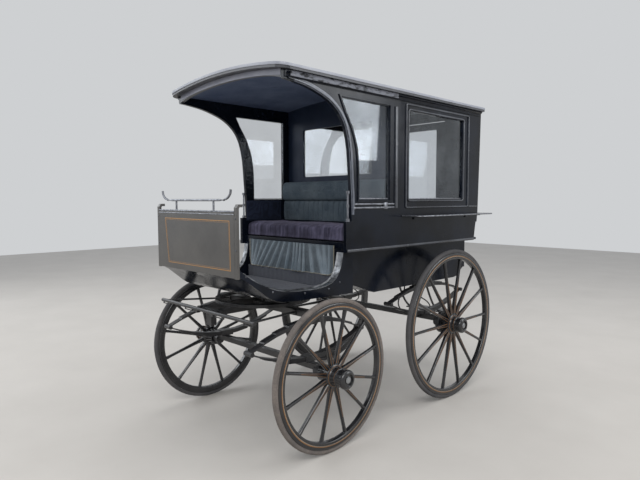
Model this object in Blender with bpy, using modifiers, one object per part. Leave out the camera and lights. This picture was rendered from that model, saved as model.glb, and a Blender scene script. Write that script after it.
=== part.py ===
"""Horse drawn station omnibus: a glazed body on elliptic springs with four spoked wheels.

Metres, +Z up, +X the carriage's left side, front towards -Y. The stations along Y are
measured from the point midway between the axles, and the whole carriage then moves so
that its origin lies on the ground under the middle of its length.
"""
import math

import bmesh
import bpy
from mathutils import Matrix, Vector

# Clearances
TOUCH = 0.0003
RUNNING = 0.0005
DOOR_GAP = 0.006
LAP = 0.004
OVERRUN = 0.050
WELD = 0.00001

# Body: levels
LOWER_BASE = 0.884
LOWER_DEPTH = 0.316
UPPER_BASE = LOWER_BASE + LOWER_DEPTH
FLOOR_THICK = 0.026
SILL_RISE = 0.346
SILL = UPPER_BASE + SILL_RISE
WINDOW_HEIGHT = 0.630
WINDOW_HEAD = SILL + WINDOW_HEIGHT
TOP_RAIL = 0.128
EAVES = WINDOW_HEAD + TOP_RAIL

# Body: widths
BODY_HALF = 0.575
WALL = 0.025
TURN_UNDER = 0.105
LOWER_HALF = BODY_HALF - TURN_UNDER
CUSHION_FIT = 0.004

# Body: stations
PARTITION_FRONT = 0.060
CABIN_LENGTH = 1.105
REAR_WALL_FRONT = PARTITION_FRONT + CABIN_LENGTH
SEAT_DEPTH = 0.462
SEAT_FRONT = PARTITION_FRONT - SEAT_DEPTH
PANEL_NOSE = 0.030
PANEL_FRONT = SEAT_FRONT - PANEL_NOSE
FOOT_LENGTH = 0.790
DASH_FACE = SEAT_FRONT - FOOT_LENGTH

# Lower body: sloping nose and curved tail
LOWER_LEAD = 0.067
LOWER_FRONT = SEAT_FRONT + LOWER_LEAD
NOSE_RUN = 0.305
NOSE_RISE = 0.102
TAIL_RUN = 0.145
TAIL_RISE = 0.076
TAIL_SHARES = ((0.0, 0.0), (0.345, 0.105), (0.62, 0.54), (1.0, 1.0))

# Side panels
SHOULDER_RISE = 0.202
SHOULDER_RUN = 0.052
HOOD_DEPTH = 0.052
PILLAR_SHARES = ((0.0, 0.0), (0.007, 0.167), (0.026, 0.361), (0.049, 0.555), (0.105, 0.712), (0.202, 0.818),
                 (0.351, 0.896), (0.526, 0.944), (0.719, 0.978), (0.947, 0.998))
TAIL_OUT = 0.075
TAIL_TUCK = 0.082
TUCK_SHARES = ((0.0, 1.0), (0.341, 0.215), (0.610, 0.159), (0.829, 0.084), (1.0, 0.0))
WINDOW_LEAD = 0.168
WINDOW_TAIL = 0.209
WINDOW_CORNER = 0.012
QUARTER_LEAD = 0.122
QUARTER_TAIL = 0.060
QUARTER_LIFT = 0.006
QUARTER_SWEEP = 0.166
QUARTER_SHARES = ((1.0, 1.0), (0.783, 0.890), (0.392, 0.730), (0.102, 0.525), (0.006, 0.305), (0.0, 0.0))

# Mouldings
BEAD = 0.012
BEAD_PROUD = 0.008
BEAD_SET = 0.005
FRAME_LEAD = 0.041
FRAME_TAIL = 0.089
FRAME_DROP = 0.066
FRAME_LIFT = 0.052
FRAME_CORNER = 0.018
BELT_DROP = 0.038
BELT_STEP = 0.024
SKIRT_MOULDING = 0.018
POST_MOULDING = 0.030
POST_INSET = 0.004
STOP_BLOCK = 0.034
STOP_BLOCK_SHARE = 0.72
CORNICE_OUT = 0.026
CORNICE_DEPTH = 0.038
CORNICE_SHARES = ((0.38, 0.0), (0.46, 0.24), (0.31, 0.31), (0.46, 0.50), (0.92, 0.68), (1.0, 0.74))

# Glass
PANE = 0.005
PANE_FIT = 0.0005
PARTITION_LIGHT_HALF = 0.370
PARTITION_LIGHT_HEIGHT = 0.380
PARTITION_LIGHT_RISE = 0.184

# Rear door
DOOR_HALF = 0.262
DOOR_RISE = 0.041
DOOR_BASE = LOWER_BASE + DOOR_RISE
DOOR_HEAD = 0.050
DOOR_TOP = WINDOW_HEAD + DOOR_HEAD
DOOR_PROUD = 0.006
DOOR_LIGHT_SIDE = 0.080
DOOR_LIGHT_DROP = 0.061
KNUCKLE_RADIUS = 0.006
KNUCKLE_LENGTH = 0.030
HINGE_FLAP = 0.030
FLAP_THICK = 0.003
HINGE_SIDE = 0.004
HINGE_SHARES = (0.12, 0.50, 0.88)
HANDLE_SHARE = 0.288
HANDLE_SIDE = 0.040
HANDLE_OUT = 0.036
HANDLE_RADIUS = 0.008
ROSE_RADIUS = 0.020
LEVER_LENGTH = 0.095

# Roof
EAVES_OUT = 0.045
ROOF_HALF = BODY_HALF + EAVES_OUT
HOOD_REACH = 0.598
ROOF_FRONT = SEAT_FRONT - HOOD_REACH
ROOF_TAIL = 0.097
ROOF_REAR = REAR_WALL_FRONT + ROOF_TAIL
CAMBER = 0.052
ROOF_THICK = 0.030
ROOF_CORNER = 0.060
HOOD_SETBACK = 0.050
VALANCE_THICK = 0.024
VALANCE_DEPTH = 0.034
VALANCE_EAR = 0.014
LINING_THICK = 0.010

# Driver's footwell
FOOT_RISE = 0.042
FOOT_BASE = LOWER_BASE + FOOT_RISE
FOOT_SIDE_FIT = 0.004
FOOT_TAPER = 0.091
FOOT_SIDE = 0.050
FOOT_FLOOR = 0.022
RISER_INSET = 0.022
HORN_RISE = 0.018
RIM_SHARES = ((0.980, 1.0), (0.968, 0.781), (0.936, 0.525), (0.862, 0.307), (0.721, 0.212), (0.541, 0.212),
              (0.388, 0.245), (0.266, 0.343), (0.157, 0.489), (0.067, 0.653), (0.0, 0.803))
TOE_SHARES = ((0.0, 0.657), (0.080, 0.511), (0.183, 0.285), (0.266, 0.117), (0.375, 0.022), (0.567, 0.0))
SCUFF_LIP = 0.010
SCUFF_THICK = 0.002
SCUFF_INSET = 0.001
SCUFF_OVERHANG = 0.004
CARPET_THICK = 0.007
CARPET_SIDE = 0.014

# Dash
DASH_THICK = 0.018
DASH_SIDE = 0.023
DASH_RISE = 0.174
DASH_HEIGHT = 0.370
DASH_CORNER = 0.010
BEADING = 0.014
BEADING_RISE = 0.010
STRAP_WIDTH = 0.026
STRAP_THICK = 0.016
HOOK_RISE = 0.036
HOOK_REACH = 0.034
HOOK_THICK = 0.009
RAIL_RADIUS = 0.007
RAIL_RISE = 0.064
RAIL_HALF = 0.392
RAIL_TURN_UP = 0.060
RAIL_SHARES = ((1.0, 1.0), (0.985, 0.60), (0.920, 0.22), (0.820, 0.035), (0.700, 0.0))
STANCHION_RADIUS = 0.006
STANCHION_SHARE = 0.548

# Driver's seat
SEAT_RISE = 0.064
SEAT_BOARD = 0.043
CUSHION_THICK = 0.111
CUSHION_EDGE = 0.022
CUSHION_NOSE = 0.004
BACK_RISE = 0.315
BACK_THICK = 0.060
ROLL_RADIUS = 0.046
BACK_SHARES = ((0.0, 0.0), (-0.10, 0.27), (-0.03, 0.53))
FALL_DROP = 0.200
FALL_THICK = 0.008
FALL_SIDE = 0.040
FALL_CORNER = 0.050

# Passengers' benches
BENCH_DEPTH = 0.360
BENCH_BOARD = 0.022
BENCH_LIP = 0.020
BENCH_CUSHION = 0.090

# Mudguards and grab handles
GUARD_RISE = 0.232
GUARD_THICK = 0.010
GUARD_COVER = 0.065
GUARD_REACH = 0.511
GUARD_CORNER = 0.045
GUARD_IRON = 0.028
GUARD_IRON_THICK = 0.009
GUARD_IRON_SHARES = (-0.70, 0.70)
GUARD_FOOT = 0.024
GUARD_INSET = 0.045
GRAB_RADIUS = 0.006
GRAB_HEIGHT = 0.200
GRAB_SETBACK = 0.027
GRAB_KNOBS = ((0.0, 0.012), (0.46, 0.009), (0.90, 0.011))
KNOB_LENGTH = 0.018

# Wheels
FRONT_RADIUS = 0.475
REAR_RADIUS = 0.579
FRONT_SPOKES = 12
REAR_SPOKES = 14
HALF_WHEELBASE = 0.661
WHEEL_STANDOFF = 0.105
HALF_TRACK = BODY_HALF + WHEEL_STANDOFF
TYRE_WIDTH = 0.034
TYRE_DEPTH = 0.027
TYRE_CROWN = 0.012
FELLOE_WIDTH = 0.040
FELLOE_DEPTH = 0.048
FELLOE_ROUND = 0.008
SPOKE_WIDTH = 0.028
SPOKE_TIP_WIDTH = 0.022
SPOKE_ROOT = 0.005
SPOKE_TENON = 0.016
NAVE_RADIUS = 0.072
NAVE_LIP = 0.003
BARREL_RADIUS = 0.059
NECK_RADIUS = 0.052
HUB_SHOULDER = 0.008
HUB_BAND = 0.007
HUB_BAND_PROUD = 0.002
NAVE_BEHIND = 0.095
FRONT_NAVE_OUT = 0.103
REAR_NAVE_OUT = 0.084
CAP_LENGTH = 0.030
CAP_BEVEL = 0.011
CAP_RADIUS = 0.060
CAP_FACE = 0.046
CAP_RECESS = 0.036
CAP_EYE = 0.024
CAP_DEPTH = 0.010
DRUM_RADIUS = 0.085
DRUM_WIDTH = 0.030
DRUM_WALL = 0.006

# Axles
ARM_RADIUS = 0.0205
ARM_LENGTH = 0.155
ARM_FIT = 0.0008
AXLE_SIZE = 0.042
AXLE_EDGE = 0.004
COLLAR_RADIUS = 0.036
COLLAR_OUT = 0.030
COLLAR_IN = 0.020
FRONT_BED_RISE = 0.024
REAR_BED_RISE = 0.021

# Springs
SPRING_WIDTH = 0.045
LEAF = 0.0075
LEAF_REACHES_SHARES = (1.0, 0.80, 0.60, 0.40)
SPRING_EYE = 0.015
EYE_BOLT = 0.012
CLIP_SIDE = 0.006
CLIP_HALF = 0.050
CLIP_PLATE = 0.006
FRONT_SPRING_HALF = 0.474
REAR_SPRING_HALF = 0.485
FRONT_EYE_SHARE = 0.500
REAR_EYE_SHARE = 0.547
FRONT_SPRING_INSET = 0.119
REAR_SPRING_INSET = 0.030

# Fore-carriage
TRANSOM_DEPTH = 0.0585
TRANSOM_HALF = 0.340
TRANSOM_WIDTH = 0.080
RING_RADIUS = 0.330
RING_WIDTH = 0.040
RING_THICK = 0.010
RING_SEAT = 0.002
KING_PIN = 0.014
PIN_FIT = 0.0008
PIN_RISE = 0.040
PIN_ROOM = 0.006
BED_DEPTH = 0.044
BED_WIDTH = 0.060
BED_DROP = 0.014
BED_OVERHANG = 0.026
FUTCHELL_X = 0.090
FUTCHELL_WIDTH = 0.032
FUTCHELL_DEPTH = 0.036
FUTCHELL_FRONT = 0.459
FUTCHELL_REAR = 0.311
CROSS_WIDTH = 0.038
CROSS_SETBACK = 0.020
CROSS_OVERHANG = 0.014
BRACKET_HALF = 0.029
BRACKET_FRONT = 0.442
BRACKET_LENGTH = 0.040
BRACKET_DROP = 0.076

# Splinter bar
BAR_AHEAD = 0.019
BAR_DROP = 0.012
BAR_HALF = 0.528
BAR_RADIUS = 0.012
LOOP_SHARES = (0.42, 0.97)
LOOP_LENGTH = 0.085
LOOP_DROP = 0.021
LOOP_RADIUS = 0.005
STAY_RADIUS = 0.007
STAY_INSET = 0.033
STAY_TOE_IN = 0.106
STAY_FOOT = 0.032
STAY_FOOT_THICK = 0.008
BAR_SEAT = 0.036
BAR_SEAT_DEPTH = 0.030

# Rear step and brake lines
STEP_DROP = 0.384
STEP_AHEAD = 0.085
STEP_DEPTH = 0.150
STEP_HALF = 0.190
STEP_THICK = 0.010
STEP_IRON_RADIUS = 0.010
STEP_IRON_INSET = 0.030
STEP_FOOT = 0.060
STEP_FOOT_WIDTH = 0.040
STEP_IRON_SHARES = ((-0.19, 0.02), (0.03, 0.08), (0.31, 0.31), (0.66, 0.78), (0.86, 0.975))
LINE_RADIUS = 0.005
LINE_INSET = 0.021
LINE_FERRULE = 0.012
LINE_ROOM = 0.280
HOSE_SHARES = ((0.70, 1.0), (0.73, 0.84), (0.92, 0.68), (0.98, 0.52), (0.90, 0.36), (0.72, 0.21), (0.44, 0.09),
               (0.20, 0.02), (0.0, 0.0))
CABLE_SHARES = ((-0.56, 1.0), (-0.54, 0.85), (-0.36, 0.66), (-0.05, 0.50), (0.19, 0.36), (0.33, 0.20), (0.29, 0.06),
                (0.14, 0.01), (0.0, 0.0))

# Facets
WHEEL_STEPS = 38
NAVE_STEPS = 16
RING_STEPS = 32
ROUND_SIDES = 12
SPOKE_SIDES = 6

FOOT_HALF_REAR = BODY_HALF - WALL - FOOT_SIDE_FIT
FOOT_HALF_FRONT = FOOT_HALF_REAR - FOOT_TAPER
FOOT_FRONT = DASH_FACE + DASH_THICK / 2 + TOUCH
DASH_BASE = FOOT_BASE + DASH_RISE
DASH_TOP = DASH_BASE + DASH_HEIGHT
BEADING_TOP = DASH_TOP + BEADING_RISE
CUSHION_BASE = UPPER_BASE + SEAT_RISE
CUSHION_TOP = CUSHION_BASE + CUSHION_THICK
UPPER_PLATE_LOW = FOOT_BASE - TRANSOM_DEPTH
LOWER_PLATE_LOW = UPPER_PLATE_LOW - RUNNING - RING_THICK
FUTCHELL_TOP = LOWER_PLATE_LOW + RING_SEAT
BED_TOP = FUTCHELL_TOP - BED_DROP
BED_BASE = BED_TOP - BED_DEPTH
FRONT_SPRING_X = HALF_TRACK - NAVE_BEHIND - FRONT_SPRING_INSET
REAR_SPRING_X = LOWER_HALF - REAR_SPRING_INSET
STEP_TOP = LOWER_BASE - STEP_DROP + STEP_THICK
STEP_FRONT = REAR_WALL_FRONT + STEP_AHEAD
FRONT_END = DASH_FACE - DASH_THICK / 2
REAR_END = STEP_FRONT + STEP_DEPTH
MIDSHIP = (FRONT_END + REAR_END) / 2

PARTS = None
CUTTERS = None

PLANES = {
    "XY": Matrix.Identity(4),
    "YZ": Matrix(((0, 0, 1, 0), (1, 0, 0, 0), (0, 1, 0, 0), (0, 0, 0, 1))),
    "XZ": Matrix(((1, 0, 0, 0), (0, 0, -1, 0), (0, 1, 0, 0), (0, 0, 0, 1))),
}


def clear_scene():
    for obj in list(bpy.data.objects):
        bpy.data.objects.remove(obj, do_unlink=True)


def new_collection(name):
    made = bpy.data.collections.new(name)
    bpy.context.scene.collection.children.link(made)
    return made


def material(name, colour, roughness, metallic=0.0, alpha=1.0):
    made = bpy.data.materials.get(name)
    if made:
        return made
    made = bpy.data.materials.new(name)
    made.use_nodes = True
    shader = made.node_tree.nodes["Principled BSDF"]
    shader.inputs["Base Color"].default_value = (*colour, 1.0)
    shader.inputs["Roughness"].default_value = roughness
    shader.inputs["Metallic"].default_value = metallic
    shader.inputs["Alpha"].default_value = alpha
    return made


def black_paint():
    return material("black_paint", (0.010, 0.011, 0.014), 0.18)


def rubber():
    return material("tyre_rubber", (0.33, 0.34, 0.36), 0.75)


def iron():
    return material("black_iron", (0.020, 0.021, 0.024), 0.42, 0.6)


def worn_steel():
    return material("worn_steel", (0.62, 0.63, 0.64), 0.32, 1.0)


def cloth():
    return material("blue_green_cloth", (0.10, 0.17, 0.20), 0.92)


def velour():
    return material("dark_velour", (0.035, 0.026, 0.045), 0.95)


def carpet():
    return material("ribbed_carpet", (0.055, 0.056, 0.066), 0.95)


def lining():
    return material("blue_lining", (0.018, 0.026, 0.055), 0.9)


def glass():
    return material("window_glass", (0.75, 0.82, 0.82), 0.03, 0.0, 0.25)


def brass():
    return material("plated_handle", (0.70, 0.66, 0.55), 0.25, 1.0)


def empty(name, place):
    made = bpy.data.objects.new(name, None)
    PARTS.objects.link(made)
    made.location = place
    return made


def mesh_object(name, mesh):
    made = bpy.data.objects.new(name, mesh)
    PARTS.objects.link(made)
    return made


def finish(obj, look, group):
    """Give a sub-part its material and hang it on its body, keeping its place."""
    obj.data.materials.clear()
    obj.data.materials.append(look)
    obj.parent = group
    obj.matrix_parent_inverse = Matrix.Translation(-group.location)
    return obj


def smooth(obj, angle=40):
    obj.data.shade_smooth()
    obj.data.set_sharp_from_angle(angle=math.radians(angle))
    return obj


def baked(obj):
    """The object's evaluated shape as a plain welded mesh in world space."""
    bpy.context.view_layer.update()
    graph = bpy.context.evaluated_depsgraph_get()
    mesh = bpy.data.meshes.new_from_object(obj.evaluated_get(graph))
    mesh.transform(obj.matrix_world)
    work = bmesh.new()
    work.from_mesh(mesh)
    bmesh.ops.remove_doubles(work, verts=work.verts, dist=WELD)
    work.to_mesh(mesh)
    work.free()
    name = obj.name
    bpy.data.objects.remove(obj, do_unlink=True)
    made = mesh_object(name, mesh)
    made.name = name
    return made


def plate(name, outlines, thick, plane, at=0.0):
    """A flat piece: outlines in a plane, the second and later ones being openings."""
    curve = bpy.data.curves.new(name, "CURVE")
    curve.dimensions = "2D"
    curve.fill_mode = "BOTH"
    curve.extrude = thick / 2
    for outline in outlines:
        spline = curve.splines.new("POLY")
        spline.points.add(len(outline) - 1)
        for point, (u, v) in zip(spline.points, outline):
            point.co = (u, v, 0, 1)
        spline.use_cyclic_u = True
    obj = bpy.data.objects.new(name, curve)
    PARTS.objects.link(obj)
    axis = PLANES[plane].to_3x3() @ Vector((0, 0, 1))
    away = Vector([abs(share) for share in axis]) * at
    obj.matrix_world = Matrix.Translation(away) @ PLANES[plane]
    return baked(obj)


def box(name, low, high, bevel=0.0, segments=2):
    """A block between two corners, its edges rounded where a width is given."""
    middle = [(a + b) / 2 for a, b in zip(low, high)]
    size = [b - a for a, b in zip(low, high)]
    work = bmesh.new()
    bmesh.ops.create_cube(work, size=1.0)
    bmesh.ops.scale(work, vec=size, verts=work.verts)
    bmesh.ops.translate(work, vec=middle, verts=work.verts)
    mesh = bpy.data.meshes.new(name)
    work.to_mesh(mesh)
    work.free()
    obj = mesh_object(name, mesh)
    if bevel:
        edge = obj.modifiers.new("edges", "BEVEL")
        edge.width = bevel
        edge.segments = segments
    return obj


def cylinder(name, radius, start, end, sides=16, end_radius=None):
    """A round bar between two points, tapered where the far radius is given."""
    start, end = Vector(start), Vector(end)
    length = (end - start).length
    work = bmesh.new()
    bmesh.ops.create_cone(work, cap_ends=True, segments=sides, radius1=radius,
                          radius2=radius if end_radius is None else end_radius, depth=length)
    turn = Vector((0, 0, 1)).rotation_difference(end - start).to_matrix().to_4x4()
    bmesh.ops.transform(work, matrix=Matrix.Translation((start + end) / 2) @ turn, verts=work.verts)
    mesh = bpy.data.meshes.new(name)
    work.to_mesh(mesh)
    work.free()
    return smooth(mesh_object(name, mesh))


def tube(name, points, radius, sides=4, smooth_path=False):
    """A bent bar of round section through the points."""
    curve = bpy.data.curves.new(name, "CURVE")
    curve.dimensions = "3D"
    curve.bevel_depth = radius
    curve.bevel_resolution = sides - 2
    curve.use_fill_caps = True
    path = softened(points) if smooth_path else points
    spline = curve.splines.new("POLY")
    spline.points.add(len(path) - 1)
    for point, place in zip(spline.points, path):
        point.co = (*place, 1)
    obj = bpy.data.objects.new(name, curve)
    PARTS.objects.link(obj)
    return smooth(baked(obj))


def turned(name, profile, steps, closed=False):
    """A turned shape on the X axis: profile points are (along, radius), outer end first."""
    mesh = bpy.data.meshes.new(name)
    edges = [(i, i + 1) for i in range(len(profile) - 1)]
    if closed:
        edges.append((len(profile) - 1, 0))
    mesh.from_pydata([(radius, 0, along) for along, radius in profile], edges, [])
    obj = mesh_object(name, mesh)
    screw = obj.modifiers.new("turn", "SCREW")
    screw.steps = steps
    screw.render_steps = steps
    screw.use_merge_vertices = True
    screw.merge_threshold = WELD
    obj.rotation_euler = (0, math.pi / 2, 0)
    return smooth(baked(obj))


def cut(obj, cutter, operation="DIFFERENCE", crossing=False):
    """Cut the object by the other, or join the two; crossing where the other's pieces meet."""
    cutter.hide_render = True
    cutter.display_type = "WIRE"
    change = obj.modifiers.new("cut", "BOOLEAN")
    change.operation = operation
    change.solver = "EXACT"
    change.use_self = crossing
    change.object = cutter
    made = baked(obj)
    bpy.data.objects.remove(cutter, do_unlink=True)
    return made


def joined(name, pieces):
    """One solid body from pieces that run into each other."""
    body = baked(pieces[0])
    for piece in pieces[1:]:
        body = cut(body, baked(piece), "UNION")
    body.name = name
    return body


def gathered(name, pieces):
    """Several loose pieces in one mesh, to cut or join with another object in one step."""
    work = bmesh.new()
    for piece in pieces:
        solid = baked(piece)
        work.from_mesh(solid.data)
        bpy.data.objects.remove(solid, do_unlink=True)
    mesh = bpy.data.meshes.new(name)
    work.to_mesh(mesh)
    work.free()
    return mesh_object(name, mesh)


def mirrored(obj, name):
    """The opposite-hand copy of a baked piece."""
    mesh = obj.data.copy()
    mesh.transform(Matrix.Scale(-1, 4, (1, 0, 0)))
    mesh.flip_normals()
    return mesh_object(name, mesh)


def softened(points, per_span=3):
    """A smooth line through the points."""
    path = []
    last = len(points) - 1
    for i in range(last):
        a = Vector(points[max(i - 1, 0)])
        b = Vector(points[i])
        c = Vector(points[i + 1])
        d = Vector(points[min(i + 2, last)])
        for step in range(per_span):
            t = step / per_span
            spot = 2 * b + (c - a) * t + (2 * a - 5 * b + 4 * c - d) * t ** 2
            spot += (3 * b - a - 3 * c + d) * t ** 3
            path.append(tuple(spot / 2))
    path.append(tuple(points[last]))
    return path


def arc(centre, radius, start, end, steps):
    """Points along an arc, in degrees."""
    turn = [math.radians(start + (end - start) * i / steps) for i in range(steps + 1)]
    return [(centre[0] + radius * math.cos(a), centre[1] + radius * math.sin(a)) for a in turn]


def rounded_rectangle(low, high, radius, steps=4):
    """A rectangle with round corners, anticlockwise from the lower right."""
    u0, v0 = low
    u1, v1 = high
    return (arc((u1 - radius, v0 + radius), radius, -90, 0, steps)
            + arc((u1 - radius, v1 - radius), radius, 0, 90, steps)
            + arc((u0 + radius, v1 - radius), radius, 90, 180, steps)
            + arc((u0 + radius, v0 + radius), radius, 180, 270, steps))


def roof_height(x, thickness=0.0):
    """Height of the cambered roof at a distance from the middle."""
    return EAVES + CAMBER * (1 - (x / ROOF_HALF) ** 2) - thickness


def camber_line(half, thickness, steps=12):
    """Points across the carriage that follow the roof, from right to left side."""
    line = [-half + 2 * half * i / steps for i in range(steps + 1)]
    return [(x, roof_height(x, thickness)) for x in line]


def placed(shares, low, high):
    """Points at the given shares of the rectangle between two corners."""
    return [(low[0] + (high[0] - low[0]) * u, low[1] + (high[1] - low[1]) * v) for u, v in shares]


def normals(path, closed):
    """The mitred left-hand direction at each point of a line."""
    last = len(path) - 1
    found = []
    for i in range(len(path)):
        before = Vector(path[i]) - Vector(path[i - 1])
        after = Vector(path[(i + 1) % len(path)]) - Vector(path[i])
        if not closed and i == 0:
            before = after
        if not closed and i == last:
            after = before
        before.normalize()
        after.normalize()
        away = Vector((-before.y - after.y, before.x + after.x))
        found.append(away / max(1 + before.dot(after), 0.2))
    return found


def inset(outline, distance):
    """An outline drawn in by a small distance at right angles to its edges, or out if negative."""
    area = sum(a[0] * b[1] - b[0] * a[1] for a, b in zip(outline, outline[1:] + outline[:1]))
    inward = distance if area > 0 else -distance
    return [(u + inward * away.x, v + inward * away.y)
            for (u, v), away in zip(outline, normals(outline, True))]


def strip(path, near, far):
    """Outline of a band along an open line, between two distances to its left."""
    away = normals(path, False)
    first = [(u + near * n.x, v + near * n.y) for (u, v), n in zip(path, away)]
    second = [(u + far * n.x, v + far * n.y) for (u, v), n in zip(path, away)]
    return first + second[::-1]


def span(a, b):
    """Two limits in rising order, for a piece that is built for either side."""
    return min(a, b), max(a, b)


# Wheels

def wheel_solids(name, radius, spokes, nave_out):
    """Felloe, spokes and nave of one wheel as one body round the X axis."""
    rim_out = radius - TYRE_DEPTH
    rim_in = rim_out - FELLOE_DEPTH
    half = FELLOE_WIDTH / 2
    felloe = turned(name + "_felloe", [
        (half, rim_out), (-half, rim_out), (-half, rim_in + FELLOE_ROUND),
        (-half + FELLOE_ROUND, rim_in), (half - FELLOE_ROUND, rim_in), (half, rim_in + FELLOE_ROUND)],
        WHEEL_STEPS, closed=True)
    tines = []
    for i in range(spokes):
        angle = 2 * math.pi * (i + 0.5) / spokes
        way = Vector((0, math.sin(angle), math.cos(angle)))
        tines.append(cylinder(name + "_spoke", SPOKE_WIDTH / 2, way * (NAVE_RADIUS - SPOKE_ROOT),
                              way * (rim_in + SPOKE_TENON), SPOKE_SIDES, SPOKE_TIP_WIDTH / 2))
    wheel = cut(felloe, gathered(name + "_spokes", tines), "UNION", crossing=True)
    wheel = cut(wheel, turned(name + "_nave", nave_profile(nave_out), NAVE_STEPS), "UNION")
    wheel.name = name
    return smooth(wheel, 35)


def nave_profile(out):
    """Turned hub: recessed cap, banded barrel, the ring for the spokes, the neck and a blind bore."""
    ring = SPOKE_WIDTH / 2 + NAVE_LIP
    shoulder = ring + HUB_SHOULDER
    band = (shoulder + out) / 2
    nose = out + CAP_LENGTH
    floor = nose - CAP_DEPTH
    bore = ARM_RADIUS + ARM_FIT
    bore_end = ARM_LENGTH - NAVE_BEHIND + RUNNING
    neck_end = -NAVE_BEHIND + DRUM_WIDTH + LAP
    return [
        (floor + CAP_DEPTH / 2, 0.0), (floor + CAP_DEPTH / 2, CAP_EYE), (floor, CAP_EYE), (floor, CAP_RECESS),
        (nose, CAP_RECESS), (nose, CAP_FACE), (nose - CAP_BEVEL, CAP_RADIUS), (out, CAP_RADIUS),
        (out, NECK_RADIUS), (band, NECK_RADIUS + HUB_BAND_PROUD), (band - HUB_BAND / 2, BARREL_RADIUS),
        (band - HUB_BAND, NECK_RADIUS + HUB_BAND_PROUD), (shoulder, BARREL_RADIUS), (ring, NAVE_RADIUS),
        (-ring, NAVE_RADIUS), (-shoulder, BARREL_RADIUS), (neck_end, NECK_RADIUS), (-NAVE_BEHIND, NECK_RADIUS),
        (-NAVE_BEHIND, bore), (bore_end, bore), (bore_end, 0.0),
    ]


def tyre_profile(radius):
    """Rubber tyre: flat on the felloe, rounded on the road."""
    half = TYRE_WIDTH / 2
    seat = radius - TYRE_DEPTH + TOUCH
    return [
        (half, radius - TYRE_CROWN), (half / 2, radius), (-half / 2, radius), (-half, radius - TYRE_CROWN),
        (-half, seat), (half, seat),
    ]


def drum_profile():
    """Brake drum behind the rear nave, open towards the axle."""
    back = -NAVE_BEHIND
    front = back + DRUM_WIDTH
    neck = NECK_RADIUS + TOUCH
    return [
        (front, neck), (front, DRUM_RADIUS - DRUM_WALL), (front - DRUM_WALL, DRUM_RADIUS),
        (back, DRUM_RADIUS), (back, DRUM_RADIUS - DRUM_WALL),
        (front - DRUM_WALL, DRUM_RADIUS - DRUM_WALL), (front - DRUM_WALL, neck),
    ]


WHEELS = (
    {"end": "front", "y": -HALF_WHEELBASE, "radius": FRONT_RADIUS, "spokes": FRONT_SPOKES, "nave": FRONT_NAVE_OUT},
    {"end": "rear", "y": HALF_WHEELBASE, "radius": REAR_RADIUS, "spokes": REAR_SPOKES, "nave": REAR_NAVE_OUT},
)
SIDES = (("left", 1), ("right", -1))


def wheel(row, side, hand, root):
    """One wheel with its tyre, and at the rear its brake drum, turning about its hub."""
    end = row["end"]
    place = (hand * HALF_TRACK, row["y"], row["radius"])
    hub = empty("hub_%s_%s" % (end, side), place)
    wood = wheel_solids("wheel_%s_%s" % (end, side), row["radius"], row["spokes"], row["nave"])
    tyre = turned("tyre_%s_%s" % (end, side), tyre_profile(row["radius"]), WHEEL_STEPS, True)
    pieces = [(wood, black_paint()), (tyre, rubber())]
    if end == "rear":
        pieces.append((turned("brake_drum_rear_%s" % side, drum_profile(), NAVE_STEPS, True), iron()))
    for obj, look in pieces:
        if hand < 0:
            obj = turned_over(obj)
        obj.data.transform(Matrix.Translation(place))
        finish(obj, look, hub)
        smooth(obj, 35)
    hub.parent = root


def turned_over(obj):
    """The piece replaced by its opposite-hand copy under the same name."""
    name = obj.name
    other = mirrored(obj, name + "_other_hand")
    bpy.data.objects.remove(obj, do_unlink=True)
    other.name = name
    return other


# Axles and springs

def axle(name, y, height, rise, group):
    """A square bed between the springs with turned arms that carry the wheels."""
    half = AXLE_SIZE / 2
    arm_start = HALF_TRACK - NAVE_BEHIND
    bed_end = arm_start - COLLAR_OUT
    middle = height + rise
    pieces = [box(name, (-bed_end, y - half, middle - half), (bed_end, y + half, middle + half), AXLE_EDGE, 1)]
    for side, hand in SIDES:
        pieces.append(cylinder(name + "_collar", COLLAR_RADIUS, (hand * (bed_end - COLLAR_IN), y, height),
                               (hand * (arm_start - RUNNING), y, height), 20))
        pieces.append(cylinder(name + "_arm", ARM_RADIUS, (hand * (arm_start - COLLAR_IN), y, height),
                               (hand * (arm_start + ARM_LENGTH - RUNNING), y, height), NAVE_STEPS))
    return finish(smooth(joined(name, pieces)), iron(), group)


def leaf_height(y, half, sag):
    """Height of a spring leaf's arc above the eyes."""
    return sag * (1 - (y / half) ** 2)


def spring_outline(half, sag, up):
    """Stepped outline of one half spring: the main leaf inside, shorter leaves outside."""
    reaches = [half * share for share in LEAF_REACHES_SHARES]
    outer = []
    for i, reach in enumerate(reaches):
        level = (i + 1) * LEAF
        shorter = reaches[i + 1] if i + 1 < len(reaches) else 0.0
        stops = [-reach + (reach - shorter) * step / 2 for step in range(3)]
        if shorter:
            stops[-1] -= LAP
        outer += [(y, leaf_height(y, half, sag) + level) for y in stops]
    other = [(-y, z) for y, z in reversed(outer[:-1])]
    inner = [(half - 2 * half * step / 10) for step in range(11)]
    outline = outer + other + [(y, leaf_height(y, half, sag)) for y in inner]
    return outline if up else [(y, -z) for y, z in outline]


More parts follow.
